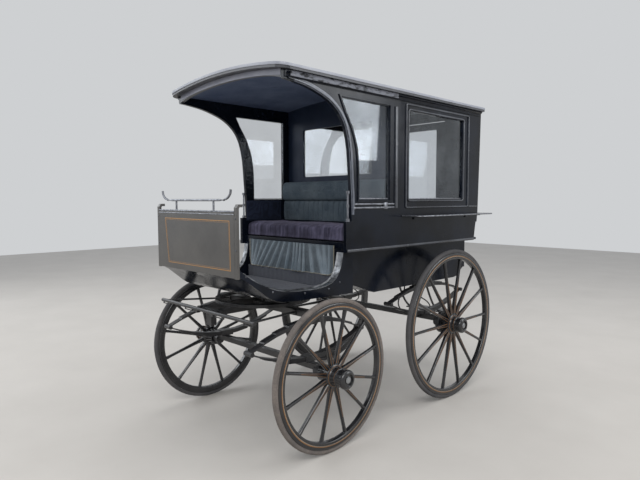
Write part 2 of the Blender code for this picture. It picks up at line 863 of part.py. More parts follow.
def elliptic_spring(name, x, y, low, high, half, eye_share):
    """A full elliptic spring between two seats, with its eyes, bolts and centre clips."""
    eye_z = low + (high - low) * eye_share
    pack = len(LEAF_REACHES_SHARES) * LEAF + CLIP_PLATE
    side = SPRING_WIDTH / 2 + CLIP_SIDE
    pieces = []
    for up, seat in ((True, high), (False, low)):
        sag = abs(seat - eye_z) - pack
        outline = [(u + y, v + eye_z) for u, v in spring_outline(half, sag, up)]
        pieces.append(plate(name + "_leaves", [outline], SPRING_WIDTH, "YZ", x))
        inner = eye_z + (1 if up else -1) * (sag - CLIP_PLATE)
        bottom, top = span(inner, seat)
        pieces.append(box(name + "_clip", (x - side, y - CLIP_HALF, bottom), (x + side, y + CLIP_HALF, top)))
    reach = SPRING_WIDTH / 2 + EYE_BOLT
    for spot in (y - half, y + half):
        pieces.append(cylinder(name + "_eye", SPRING_EYE, (x - reach, spot, eye_z), (x + reach, spot, eye_z), 10))
    return joined(name, pieces)


def springs(end, x, y, low, high, half, eye_share, group):
    for side, hand in SIDES:
        made = elliptic_spring("%s_spring_%s" % (end, side), hand * x, y, low, high, half, eye_share)
        finish(made, iron(), group)


# Fore-carriage

def fore_frame(group):
    """Cross bed on the front springs, futchells, pole bracket, lower turntable plate and king pin."""
    y = -HALF_WHEELBASE
    bed_half = FRONT_SPRING_X + BED_OVERHANG
    front = y - FUTCHELL_FRONT
    rear = y + FUTCHELL_REAR
    futchell_low = FUTCHELL_TOP - FUTCHELL_DEPTH
    cross_half = FUTCHELL_X + FUTCHELL_WIDTH / 2 + CROSS_OVERHANG
    bracket_front = y - BRACKET_FRONT
    pieces = [box("fore_carriage_frame", (-bed_half, y - BED_WIDTH / 2, BED_BASE),
                  (bed_half, y + BED_WIDTH / 2, BED_TOP), LAP, 1)]
    for side, hand in SIDES:
        x = hand * FUTCHELL_X
        pieces.append(box("futchell", (x - FUTCHELL_WIDTH / 2, front, futchell_low),
                          (x + FUTCHELL_WIDTH / 2, rear, FUTCHELL_TOP)))
    pieces.append(box("front_cross", (-cross_half, front + CROSS_SETBACK, futchell_low + LAP / 2),
                      (cross_half, front + CROSS_SETBACK + CROSS_WIDTH, FUTCHELL_TOP - LAP)))
    pieces.append(box("rear_cross", (-cross_half, rear - CROSS_SETBACK - CROSS_WIDTH / 2, futchell_low + LAP),
                      (cross_half, rear - CROSS_SETBACK / 2, FUTCHELL_TOP - LAP)))
    pieces.append(box("pole_bracket", (-BRACKET_HALF, bracket_front, futchell_low - BRACKET_DROP),
                      (BRACKET_HALF, bracket_front + BRACKET_LENGTH, FUTCHELL_TOP - 2 * LAP)))
    pieces.append(ring("turntable_lower", LOWER_PLATE_LOW))
    pieces.append(cylinder("king_pin", KING_PIN, (0, y, BED_TOP - BED_DEPTH / 2), (0, y, UPPER_PLATE_LOW + PIN_RISE),
                           NAVE_STEPS))
    return finish(joined("fore_carriage_frame", pieces), black_paint(), group)


def ring(name, low):
    """One plate of the turntable."""
    inner = RING_RADIUS - RING_WIDTH
    band = turned(name, [(RING_THICK, RING_RADIUS), (0.0, RING_RADIUS), (0.0, inner), (RING_THICK, inner)],
                  RING_STEPS, True)
    band.data.transform(Matrix.Rotation(-math.pi / 2, 4, "Y"))
    band.data.transform(Matrix.Translation((0, -HALF_WHEELBASE, low)))
    return smooth(band)


def splinter_bar(group):
    """Round bar for the traces with a loop below it for each trace, and two stays back to the bed."""
    futchell_front = -HALF_WHEELBASE - FUTCHELL_FRONT
    y = futchell_front - BAR_AHEAD
    z = FUTCHELL_TOP - BAR_DROP
    pieces = [cylinder("splinter_bar", BAR_RADIUS, (-BAR_HALF, y, z), (BAR_HALF, y, z), ROUND_SIDES)]
    for side, hand in SIDES:
        for share in LOOP_SHARES:
            start = hand * BAR_HALF * share
            end = start - hand * LOOP_LENGTH
            loop = [(start, y, z), (start, y, z - LOOP_DROP), (end, y, z - LOOP_DROP), (end, y, z)]
            pieces.append(tube("trace_loop", loop, LOOP_RADIUS, 3))
    bed_front = -HALF_WHEELBASE - BED_WIDTH / 2 - TOUCH
    foot_x = FRONT_SPRING_X - STAY_TOE_IN
    foot_z = BED_TOP - BED_DEPTH / 2
    for side, hand in SIDES:
        pieces.append(cylinder("stay", STAY_RADIUS, (hand * (BAR_HALF - STAY_INSET), y, z),
                               (hand * foot_x, bed_front - STAY_FOOT_THICK / 2, foot_z), 8))
        foot = (hand * foot_x - STAY_FOOT / 2, bed_front - STAY_FOOT_THICK, foot_z - STAY_FOOT / 2)
        pieces.append(box("stay_foot", foot,
                          (hand * foot_x + STAY_FOOT / 2, bed_front, foot_z + STAY_FOOT / 2)))
        x = hand * FUTCHELL_X
        pieces.append(box("bar_seat", (x - BAR_SEAT / 2, y - LAP, z - BAR_SEAT_DEPTH + LAP),
                          (x + BAR_SEAT / 2, futchell_front - TOUCH, z + LAP)))
    return finish(smooth(joined("splinter_bar", pieces)), iron(), group)


def transom(group):
    """Block between the footwell and the turntable, with the upper plate, bored for the king pin."""
    y = -HALF_WHEELBASE
    low = UPPER_PLATE_LOW + RING_THICK - RING_SEAT
    block = box("transom", (-TRANSOM_HALF, y - TRANSOM_WIDTH / 2, low),
                (TRANSOM_HALF, y + TRANSOM_WIDTH / 2, FOOT_BASE - TOUCH), LAP, 1)
    block = joined("transom", [block, ring("turntable_upper", UPPER_PLATE_LOW)])
    bore = cylinder("pin_hole", KING_PIN + PIN_FIT, (0, y, low - OVERRUN),
                    (0, y, UPPER_PLATE_LOW + PIN_RISE + PIN_ROOM), NAVE_STEPS)
    block = cut(block, bore)
    block.name = "transom"
    return finish(block, black_paint(), group)


# Driver's footwell

def foot_half(y):
    """Half width of the driver's footwell, which narrows towards the dash."""
    share = (y - FOOT_FRONT) / (LOWER_FRONT - FOOT_FRONT)
    return FOOT_HALF_FRONT + (FOOT_HALF_REAR - FOOT_HALF_FRONT) * min(max(share, 0.0), 1.0)


def foot_line(shares):
    """A line on the footwell's side, from shares of its length and height."""
    return softened(placed(shares, (FOOT_FRONT, FOOT_BASE), (SEAT_FRONT, UPPER_BASE)), 2)


def narrowed(obj):
    """Taper a piece of the footwell in plan, from the straight shape it is first cut to."""
    for vert in obj.data.vertices:
        vert.co.x *= foot_half(vert.co.y) / FOOT_HALF_REAR
    return obj


def footwell(group):
    """Driver's footwell: toe board, floor, low sides and the riser under the seat."""
    rear = LOWER_FRONT - TOUCH
    top = UPPER_BASE - TOUCH
    horn = (SEAT_FRONT - TOUCH, top + HORN_RISE)
    rim = foot_line(RIM_SHARES)
    outline = [horn] + rim + foot_line(TOE_SHARES) + [(rear, FOOT_BASE), (rear, top), (SEAT_FRONT - TOUCH, top)]
    shell = plate("driver_footwell", [outline], 2 * FOOT_HALF_REAR, "YZ")
    floor = [(y, z + FOOT_FLOOR) for y, z in foot_line(TOE_SHARES)]
    front = FOOT_FRONT - OVERRUN
    riser = SEAT_FRONT - RISER_INSET
    above = top + HORN_RISE + OVERRUN
    pocket = [(front, floor[0][1])] + floor + [(riser, FOOT_BASE + FOOT_FLOOR), (riser, above), (front, above)]
    shell = cut(shell, plate("foot_space", [pocket], 2 * (FOOT_HALF_REAR - FOOT_SIDE), "YZ"))
    shell.name = "driver_footwell"
    return finish(narrowed(shell), black_paint(), group)


def scuff_plate(side, hand, group):
    """Bright dished tread band along the rim that the driver steps over."""
    rim = foot_line(RIM_SHARES)[:-1]
    inner_share = (FOOT_HALF_REAR - FOOT_SIDE) / FOOT_HALF_REAR
    work = bmesh.new()
    rows = []
    for i, (y, z) in enumerate(rim):
        before = rim[max(i - 1, 0)]
        after = rim[min(i + 1, len(rim) - 1)]
        run = Vector((after[0] - before[0], after[1] - before[1])).normalized()
        outer = foot_half(y) - SCUFF_INSET
        inner = foot_half(y) * inner_share - SCUFF_OVERHANG
        section = ((outer, TOUCH), (inner, TOUCH), (inner, SCUFF_LIP), (inner + SCUFF_LIP, SCUFF_THICK + TOUCH),
                   (outer, SCUFF_THICK * 2))
        rows.append([work.verts.new((hand * x, y + run.y * lift, z - run.x * lift)) for x, lift in section])
    for first, second in zip(rows, rows[1:]):
        for i in range(len(first)):
            j = (i + 1) % len(first)
            work.faces.new((first[i], first[j], second[j], second[i]))
    work.faces.new(rows[0][::-1])
    work.faces.new(rows[-1])
    bmesh.ops.recalc_face_normals(work, faces=work.faces)
    mesh = bpy.data.meshes.new("scuff_plate_" + side)
    work.to_mesh(mesh)
    work.free()
    return finish(smooth(mesh_object("scuff_plate_" + side, mesh)), worn_steel(), group)


def foot_carpet(group):
    """Ribbed carpet on the footwell floor and toe board."""
    line = [(y, z + FOOT_FLOOR) for y, z in foot_line(TOE_SHARES)[2:]]
    line.append((SEAT_FRONT - RISER_INSET - LAP, FOOT_BASE + FOOT_FLOOR))
    lower = [(y, z + TOUCH) for y, z in line]
    upper = [(y, z + CARPET_THICK) for y, z in line]
    half = FOOT_HALF_REAR - FOOT_SIDE - CARPET_SIDE
    mat = plate("floor_carpet", [lower + upper[::-1]], 2 * half, "YZ")
    return finish(narrowed(mat), carpet(), group)


# Passengers' body

def lower_body(group):
    """Narrow lower part of the passengers' body, hollow and open at the rear doorway."""
    rear = REAR_WALL_FRONT - TOUCH
    top = UPPER_BASE - TOUCH
    floor = LOWER_BASE + FLOOR_THICK
    tail = placed(TAIL_SHARES, (rear - TAIL_RUN, LOWER_BASE), (rear, LOWER_BASE + TAIL_RISE))
    outline = [(LOWER_FRONT, top), (LOWER_FRONT, LOWER_BASE + NOSE_RISE), (LOWER_FRONT + NOSE_RUN, LOWER_BASE)]
    outline += tail + [(rear, top)]
    shell = plate("lower_body", [outline], 2 * LOWER_HALF, "YZ")
    inner = [(PARTITION_FRONT, top + OVERRUN), (PARTITION_FRONT, floor), (rear + OVERRUN, floor),
             (rear + OVERRUN, top + OVERRUN)]
    shell = cut(shell, plate("foot_room", [inner], 2 * (LOWER_HALF - WALL), "YZ"))
    shell.name = "lower_body"
    return finish(shell, black_paint(), group)


def quarter_window():
    """Front quarter light with its curved leading edge."""
    rear = PARTITION_FRONT - QUARTER_TAIL
    front = PANEL_FRONT + QUARTER_LEAD
    head = WINDOW_HEAD + QUARTER_LIFT
    curve = placed(QUARTER_SHARES, (front, SILL), (front - QUARTER_SWEEP, head))
    return [(rear, SILL), (rear, head)] + softened(curve, 2)


def side_window():
    """Large side light of the passengers' compartment."""
    return rounded_rectangle((PARTITION_FRONT + WINDOW_LEAD, SILL), (REAR_WALL_FRONT - WINDOW_TAIL, WINDOW_HEAD),
                             WINDOW_CORNER, 2)


def panel_top():
    """Top of the side panels, just under the roof."""
    return roof_height(BODY_HALF, ROOF_THICK) - 2 * TOUCH


def pillar_edge():
    """Driver's edge of the swept pillar that carries the roof forward."""
    foot = (PANEL_FRONT + SHOULDER_RUN, UPPER_BASE + SHOULDER_RISE)
    crown = (ROOF_FRONT + HOOD_SETBACK, panel_top() - HOOD_DEPTH)
    return softened(placed(PILLAR_SHARES, foot, crown), 2)


def side_outline():
    """Side panel with the shoulder and the swept pillar over the driver."""
    top = panel_top()
    rear = REAR_WALL_FRONT + TAIL_OUT
    tail = placed(TUCK_SHARES, (rear, UPPER_BASE), (rear - TAIL_TUCK, top))
    hood = ROOF_FRONT + HOOD_SETBACK
    return [(PANEL_FRONT, UPPER_BASE), (PANEL_FRONT, UPPER_BASE + SHOULDER_RISE)] + pillar_edge() + [
        (hood, top - HOOD_DEPTH), (hood, top)] + softened(tail, 2)


def proud_plate(name, outlines):
    """A raised bead on the left side panel."""
    return plate(name, outlines, BEAD_PROUD + LAP, "YZ", BODY_HALF + (BEAD_PROUD - LAP) / 2)


def proud_box(name, low, high):
    """A straight raised moulding on the left side panel, between two corners of its face."""
    return box(name, (BODY_HALF - LAP, low[0], low[1]), (BODY_HALF + BEAD_PROUD, high[0], high[1]))


def window_beads():
    """Beads round the side light, its outer frame, the quarter light and the swept pillar."""
    window = side_window()
    frame = rounded_rectangle(
        (PARTITION_FRONT + WINDOW_LEAD - FRAME_LEAD, SILL - FRAME_DROP),
        (REAR_WALL_FRONT - WINDOW_TAIL + FRAME_TAIL, WINDOW_HEAD + FRAME_LIFT), FRAME_CORNER, 2)
    quarter = quarter_window()
    return [
        proud_plate("outer_bead", [frame, inset(frame, BEAD)[::-1]]),
        proud_plate("sash_bead", [inset(window, -BEAD_SET - BEAD), inset(window, -BEAD_SET)[::-1]]),
        proud_plate("quarter_bead", [inset(quarter, -BEAD_SET - BEAD), inset(quarter, -BEAD_SET)[::-1]]),
        proud_plate("pillar_bead", [strip(pillar_edge()[1:], -BEAD_SET, -BEAD_SET - BEAD)]),
    ]


def straight_mouldings():
    """Belt, skirt and post mouldings, the stop block and the cornice."""
    front = PANEL_FRONT + SHOULDER_RUN + BEAD
    post = PARTITION_FRONT + POST_INSET
    belt = SILL - BELT_DROP
    block = front + (post - front) * STOP_BLOCK_SHARE
    frame_end = REAR_WALL_FRONT - WINDOW_TAIL + FRAME_TAIL
    cornice_top = roof_height(BODY_HALF + CORNICE_OUT, ROOF_THICK) - 2 * TOUCH
    top = cornice_top - TOUCH
    low = cornice_top - CORNICE_DEPTH
    section = [(BODY_HALF - LAP, low)] + placed(CORNICE_SHARES, (BODY_HALF, low), (BODY_HALF + CORNICE_OUT, top))
    section += [(BODY_HALF + CORNICE_OUT, top), (BODY_HALF - LAP, top)]
    start = ROOF_FRONT + HOOD_SETBACK + LAP
    end = REAR_WALL_FRONT + TAIL_OUT - CORNICE_OUT
    return [
        proud_box("belt_upper", (front, belt), (post - BEAD, belt + BEAD)),
        proud_box("belt_lower", (front, belt - BELT_STEP), (post - BEAD, belt - BELT_STEP + BEAD)),
        proud_box("stop_block", (block, belt - BELT_STEP - LAP), (block + STOP_BLOCK, SILL - BEAD_SET - BEAD - LAP)),
        proud_box("rear_belt", (frame_end + LAP, SILL - FRAME_DROP),
                  (REAR_WALL_FRONT + PANEL_NOSE, SILL - FRAME_DROP + BEAD)),
        proud_box("skirt", (PANEL_FRONT + LAP, UPPER_BASE + LAP),
                  (REAR_WALL_FRONT - BEAD, UPPER_BASE + LAP + SKIRT_MOULDING)),
        proud_box("post", (post, belt - BELT_STEP), (post + POST_MOULDING, WINDOW_HEAD + BEAD)),
        plate("cornice", [section], end - start, "XZ", (start + end) / 2),
    ]


def side_panels(group):
    """Side panels with their mouldings."""
    panel = plate("body_side_left", [side_outline(), quarter_window()[::-1], side_window()[::-1]],
                  WALL, "YZ", BODY_HALF - WALL / 2)
    panel = cut(panel, gathered("beads", window_beads()), "UNION")
    panel = cut(panel, gathered("mouldings", straight_mouldings()), "UNION", crossing=True)
    panel.name = "body_side_left"
    other = mirrored(panel, "body_side_right")
    for obj in (panel, other):
        finish(obj, black_paint(), group)


def roof(group):
    """Cambered roof board with round corners in plan, and the valance under its front edge."""
    plan = plate("roof", [rounded_rectangle((-ROOF_HALF, ROOF_FRONT), (ROOF_HALF, ROOF_REAR), ROOF_CORNER)],
                 2 * (CAMBER + ROOF_THICK + OVERRUN), "XY", EAVES)
    wide = ROOF_HALF + OVERRUN
    section = camber_line(wide, ROOF_THICK, 16) + camber_line(wide, 0.0, 16)[::-1]
    board = plate("roof_board", [section], ROOF_REAR - ROOF_FRONT + 2 * OVERRUN, "XZ", (ROOF_FRONT + ROOF_REAR) / 2)
    top = cut(cut(plan, board, "INTERSECT"), valance(), "UNION")
    top.name = "roof"
    return finish(smooth(top, 30), black_paint(), group)


def valance():
    """Board under the front edge of the roof, its lower edge dropping to an ear at each side."""
    half = BODY_HALF - WALL - TOUCH
    line = camber_line(half, ROOF_THICK, 16)
    lower = [(x, z - VALANCE_DEPTH - VALANCE_EAR * abs(x / half) ** 6) for x, z in line]
    upper = [(x, z + LAP) for x, z in line]
    middle = ROOF_FRONT + HOOD_SETBACK + VALANCE_THICK / 2
    return plate("valance", [lower + upper[::-1]], VALANCE_THICK, "XZ", middle)


def roof_lining(group):
    """Lining board under the driver's roof, between the side panels."""
    half = BODY_HALF - WALL - CUSHION_FIT
    lower = [(x, z - LINING_THICK) for x, z in camber_line(half, ROOF_THICK)]
    upper = [(x, z - TOUCH) for x, z in camber_line(half, ROOF_THICK)]
    start = ROOF_FRONT + HOOD_SETBACK + VALANCE_THICK + TOUCH
    end = PARTITION_FRONT - TOUCH
    sheet = plate("roof_lining", [lower + upper[::-1]], end - start, "XZ", (start + end) / 2)
    return finish(smooth(sheet), lining(), group)


def cambered_wall(lower_half, low):
    """Upper outline of a wall across the body, from its right foot up and over to its left foot."""
    upper_half = BODY_HALF - WALL - TOUCH
    waist = UPPER_BASE + TOUCH
    top = [(x, z - TOUCH) for x, z in camber_line(upper_half, ROOF_THICK)]
    return [(-lower_half, low), (-lower_half, waist), (-upper_half, waist)] + top + [
        (upper_half, waist), (lower_half, waist), (lower_half, low)]


def partition_window():
    """Light behind the driver's seat."""
    low = SILL + PARTITION_LIGHT_RISE
    half = PARTITION_LIGHT_HALF
    return rounded_rectangle((-half, low), (half, low + PARTITION_LIGHT_HEIGHT), WINDOW_CORNER, 2)


def partition(group):
    """Wall between the driver's seat and the passengers, with its light."""
    outline = cambered_wall(LOWER_HALF - WALL - TOUCH, LOWER_BASE + FLOOR_THICK + TOUCH)
    wall = plate("partition", [outline, partition_window()[::-1]], WALL, "XZ", PARTITION_FRONT + TOUCH + WALL / 2)
    finish(wall, black_paint(), group)
    pane("partition_glass", partition_window(), "XZ", PARTITION_FRONT + TOUCH + WALL / 2, group)


def pane(name, opening, plane, at, group):
    """A flat pane held in the middle of its opening."""
    return finish(plate(name, [inset(opening, PANE_FIT)], PANE, plane, at), glass(), group)


def side_panes(group):
    for side, hand in SIDES:
        middle = hand * (BODY_HALF - WALL / 2)
        pane("side_glass_" + side, side_window(), "YZ", middle, group)
        pane("quarter_glass_" + side, quarter_window(), "YZ", middle, group)


# Rear wall and door

def door_window():
    """Light in the upper part of the rear door."""
    half = DOOR_HALF - DOOR_LIGHT_SIDE
    return rounded_rectangle((-half, SILL), (half, DOOR_TOP - DOOR_LIGHT_DROP), WINDOW_CORNER, 2)


def hinge_line():
    """Middle of the door's hinge pins in plan."""
    face = REAR_WALL_FRONT + WALL + DOOR_PROUD
    return -DOOR_HALF - HINGE_SIDE, face + KNUCKLE_RADIUS


def hinge_heights():
    return [DOOR_BASE + (DOOR_TOP - DOOR_BASE) * share for share in HINGE_SHARES]


def knuckle(low, z_step, flap_low_y, flap_high_y, toward):
    """One hinge knuckle with the flap that fastens it, towards the door (1) or the frame (-1)."""
    x, y = hinge_line()
    near, far = span(x - toward * FLAP_THICK / 4, x + toward * HINGE_FLAP)
    return [cylinder("knuckle", KNUCKLE_RADIUS, (x, y, low), (x, y, low + z_step), 8),
            box("flap", (near, flap_low_y, low), (far, flap_high_y, low + z_step))]


def rear_frame(group):
    """Rear wall round the doorway, with the frame's half of each hinge."""
    gap = DOOR_HALF + DOOR_GAP
    low = LOWER_BASE + TAIL_RISE + TOUCH
    head = DOOR_TOP + DOOR_GAP
    outline = cambered_wall(LOWER_HALF, low) + [(gap, low), (gap, head), (-gap, head), (-gap, low)]
    wall = plate("rear_frame", [outline], WALL, "XZ", REAR_WALL_FRONT + WALL / 2)
    face = REAR_WALL_FRONT + WALL
    x, y = hinge_line()
    for height in hinge_heights():
        for low in (height - 1.5 * KNUCKLE_LENGTH - RUNNING, height + 0.5 * KNUCKLE_LENGTH + RUNNING):
            for piece in knuckle(low, KNUCKLE_LENGTH, face - LAP, y - FLAP_THICK, -1):
                wall = cut(wall, baked(piece), "UNION")
    wall.name = "rear_frame"
    return finish(wall, black_paint(), group)


def rear_door(door):
    """Rear door hung on its left edge as seen from behind, with hinges, glass and handle."""
    middle = REAR_WALL_FRONT + WALL / 2 + DOOR_PROUD
    face = middle + WALL / 2
    outline = [(-DOOR_HALF, DOOR_BASE), (DOOR_HALF, DOOR_BASE), (DOOR_HALF, DOOR_TOP), (-DOOR_HALF, DOOR_TOP)]
    leaf = plate("rear_door", [outline, door_window()[::-1]], WALL, "XZ", middle)
    for height in hinge_heights():
        for piece in knuckle(height - KNUCKLE_LENGTH / 2, KNUCKLE_LENGTH, face - LAP / 2, face + FLAP_THICK, 1):
            leaf = cut(leaf, baked(piece), "UNION")
    leaf.name = "rear_door"
    finish(leaf, black_paint(), door)
    pane("door_glass", door_window(), "XZ", middle, door)
    x = DOOR_HALF - HANDLE_SIDE
    z = DOOR_BASE + (DOOR_TOP - DOOR_BASE) * HANDLE_SHARE
    seat = face + TOUCH
    out = face + HANDLE_OUT
    handle = joined("door_handle", [
        cylinder("door_rose", ROSE_RADIUS, (x, seat, z), (x, seat + HANDLE_RADIUS, z), NAVE_STEPS),
        cylinder("door_spindle", HANDLE_RADIUS, (x, seat + HANDLE_RADIUS / 2, z), (x, out + LAP, z), ROUND_SIDES),
        cylinder("door_lever", HANDLE_RADIUS, (x + HANDLE_RADIUS, out, z), (x - LEVER_LENGTH, out, z), ROUND_SIDES,
                 HANDLE_RADIUS * 0.7),
    ])
    finish(smooth(handle), brass(), door)


# Dash and driver's seat

def dashboard(group):
    """Dash panel with rounded upper corners, its beading and the strap irons with their hooks."""
    half = FOOT_HALF_FRONT - DASH_SIDE
    corner = DASH_CORNER
    outline = [(-half, DASH_BASE), (half, DASH_BASE)]
    outline += arc((half - corner, DASH_TOP - corner), corner, 0, 90, 3)
    outline += arc((-half + corner, DASH_TOP - corner), corner, 90, 180, 3)
    pieces = [plate("dashboard", [outline], DASH_THICK, "XZ", DASH_FACE)]
    pieces.append(box("dash_beading", (-half + LAP, DASH_FACE - BEADING / 2, DASH_TOP - LAP),
                      (half - LAP, DASH_FACE + BEADING / 2, BEADING_TOP), BEADING / 4, 2))
    top = BEADING_TOP + HOOK_RISE
    hook = [(DASH_FACE, DASH_BASE - LAP), (DASH_FACE, top - HOOK_THICK * 2),
            (DASH_FACE + HOOK_THICK, top - HOOK_THICK / 2), (DASH_FACE + HOOK_REACH, top - HOOK_THICK / 2)]
    outline = strip(hook, -STRAP_THICK / 2, STRAP_THICK / 2)
    for side, hand in SIDES:
        pieces.append(plate("dash_iron", [outline], STRAP_WIDTH, "YZ", hand * (half + DASH_SIDE / 2)))
    return finish(joined("dashboard", pieces), black_paint(), group)


def rein_rail(group):
    """Rail over the dash for the reins, with turned-up ends and two stanchions."""
    z = BEADING_TOP + RAIL_RISE
    right = [(-RAIL_HALF * u, DASH_FACE, z + RAIL_TURN_UP * v) for u, v in RAIL_SHARES]
    left = [(-x, y, high) for x, y, high in right[::-1]]
    pieces = [tube("rein_rail", right + left, RAIL_RADIUS, 4, True)]
    for side, hand in SIDES:
        x = hand * RAIL_HALF * STANCHION_SHARE
        pieces.append(cylinder("stanchion", STANCHION_RADIUS, (x, DASH_FACE, BEADING_TOP + TOUCH),
                               (x, DASH_FACE, z), 10))
    return finish(smooth(joined("rein_rail", pieces)), iron(), group)


def seat_box(group):
    """Seat board over the riser, between the side panels."""
    half = BODY_HALF - WALL - TOUCH
    low = CUSHION_BASE - TOUCH - SEAT_BOARD
    rear = PARTITION_FRONT - TOUCH
    board = box("driver_seat_board", (-half, SEAT_FRONT, low), (half, rear, CUSHION_BASE - TOUCH))
    under_half = FOOT_HALF_REAR - FOOT_SIDE - CARPET_SIDE
    support = box("seat_support", (-under_half, SEAT_FRONT + LAP, UPPER_BASE + TOUCH), (under_half, rear, low + LAP))
    return finish(joined("driver_seat_board", [board, support]), black_paint(), group)


def driver_cushions(group):
    """Seat cushion and the padded back with its roll along the top."""
    half = BODY_HALF - WALL - CUSHION_FIT
    face = PARTITION_FRONT - BACK_THICK
    cushion = box("driver_cushion", (-half, SEAT_FRONT - CUSHION_NOSE, CUSHION_BASE),
                  (half, face - LAP, CUSHION_TOP), CUSHION_EDGE, 3)
    finish(smooth(cushion, 60), velour(), group)
    low = CUSHION_TOP + LAP
    top = CUSHION_TOP + BACK_RISE
    front = softened(placed(BACK_SHARES, (face, low), (face + BACK_THICK, top)), 2)
    roll = arc((face + ROLL_RADIUS / 2, top - ROLL_RADIUS), ROLL_RADIUS, 245, 80, 8)
    rear = PARTITION_FRONT - TOUCH
    outline = front + roll + [(rear, top - LAP), (rear, low)]
    rest = plate("driver_backrest", [outline[::-1]], 2 * half, "YZ")
    return finish(smooth(rest, 50), cloth(), group)


def seat_fall(group):
    """Cloth fall hanging from the seat board against the riser."""
    half = FOOT_HALF_REAR - FOOT_SIDE - FALL_SIDE
    top = CUSHION_BASE - TOUCH - SEAT_BOARD / 2
    low = top - FALL_DROP
    corner = FALL_CORNER
    outline = [(-half, top)] + arc((-half + corner, low + corner), corner, 180, 270, 4)
    outline += arc((half - corner, low + corner), corner, 270, 360, 4) + [(half, top)]
    back = SEAT_FRONT - RISER_INSET - TOUCH
    curtain = plate("seat_fall", [outline], FALL_THICK, "XZ", back - FALL_THICK / 2)
    return finish(curtain, cloth(), group)


def benches(group):
    """Lengthways passenger benches with their risers and cushions."""
    front = PARTITION_FRONT + TOUCH + WALL + TOUCH
    rear = REAR_WALL_FRONT - TOUCH
    outer = BODY_HALF - WALL - TOUCH
    inner = outer - BENCH_DEPTH
    board_low = UPPER_BASE + TOUCH
    board_top = board_low + BENCH_BOARD
    floor = LOWER_BASE + FLOOR_THICK + TOUCH
    for side, hand in SIDES:
        near, far = span(hand * inner, hand * outer)
        board = box("bench_" + side, (near, front, board_low), (far, rear, board_top))
        near, far = span(hand * (inner + BENCH_LIP), hand * (inner + 2 * BENCH_LIP))
        riser = box("bench_riser", (near, front, floor), (far, rear, board_low + LAP))
        finish(joined("bench_" + side, [board, riser]), black_paint(), group)
        near, far = span(hand * inner, hand * (outer - CUSHION_FIT))
        pad = box("bench_cushion_" + side, (near, front + CUSHION_FIT, board_top + TOUCH),
                  (far, rear - CUSHION_FIT, board_top + BENCH_CUSHION), CUSHION_EDGE, 2)
        finish(smooth(pad, 60), velour(), group)


# Fittings

def mudguards(group):
    """Flat boards over the rear wheels with round outer corners, on two irons each."""
    top = UPPER_BASE + GUARD_RISE
    low = top - GUARD_THICK
    inner = BODY_HALF + TOUCH
    outer = HALF_TRACK + GUARD_COVER
    front = HALF_WHEELBASE - GUARD_REACH
    rear = HALF_WHEELBASE + GUARD_REACH
    corner = GUARD_CORNER
    plan = [(inner, front)] + arc((outer - corner, front + corner), corner, -90, 0, 4)
    plan += arc((outer - corner, rear - corner), corner, 0, 90, 4) + [(inner, rear)]
    foot = GUARD_IRON_THICK
    for side, hand in SIDES:
        board = plate("mudguard", [plan], GUARD_THICK, "XY", (top + low) / 2)
        pieces = [board]
        for share in GUARD_IRON_SHARES:
            y = HALF_WHEELBASE + GUARD_REACH * share
            front_y = y - GUARD_IRON / 2
            rear_y = y + GUARD_IRON / 2
            pieces.append(box("guard_iron", (inner, front_y, low - foot + foot / 4),
                              (outer - GUARD_INSET, rear_y, low + foot / 4)))
            pieces.append(box("guard_foot", (inner, front_y, low - GUARD_FOOT), (inner + foot, rear_y, low)))
        guard = joined("mudguard_" + side, pieces)
        if hand < 0:
            guard = turned_over(guard)
        finish(guard, black_paint(), group)


def grab_handles(group):
    """Knobbed irons standing on the shoulders of the side panels."""
    y = PANEL_FRONT + GRAB_SETBACK
    low = UPPER_BASE + SHOULDER_RISE + TOUCH
    for side, hand in SIDES:
        x = hand * (BODY_HALF - WALL / 2)
        pieces = [cylinder("grab_handle_" + side, GRAB_RADIUS, (x, y, low), (x, y, low + GRAB_HEIGHT - LAP), 10)]
        for share, radius in GRAB_KNOBS:
            foot = low + GRAB_HEIGHT * share
            pieces.append(cylinder("knob", radius, (x, y, foot), (x, y, foot + KNOB_LENGTH), 10))
        finish(smooth(joined("grab_handle_" + side, pieces)), iron(), group)


def rear_step(group):
    """Step below the rear door on two bent irons."""
    rear = STEP_FRONT + STEP_DEPTH
    foot_rear = REAR_WALL_FRONT - TAIL_RUN
    foot_front = foot_rear - STEP_FOOT
    seat = LOWER_BASE - TOUCH
    pieces = [box("rear_step", (-STEP_HALF, STEP_FRONT, STEP_TOP - STEP_THICK), (STEP_HALF, rear, STEP_TOP))]
    bend = placed(STEP_IRON_SHARES, (STEP_FRONT, STEP_TOP - STEP_THICK), (foot_front, seat))
    for side, hand in SIDES:
        x = hand * (STEP_HALF - STEP_IRON_INSET)
        pieces.append(tube("step_iron", [(x, y, z) for y, z in bend], STEP_IRON_RADIUS, 3, True))
        pieces.append(box("step_foot", (x - STEP_FOOT_WIDTH / 2, foot_front, seat - STEP_THICK),
                          (x + STEP_FOOT_WIDTH / 2, foot_rear, seat)))
    return finish(joined("rear_step", pieces), iron(), group)


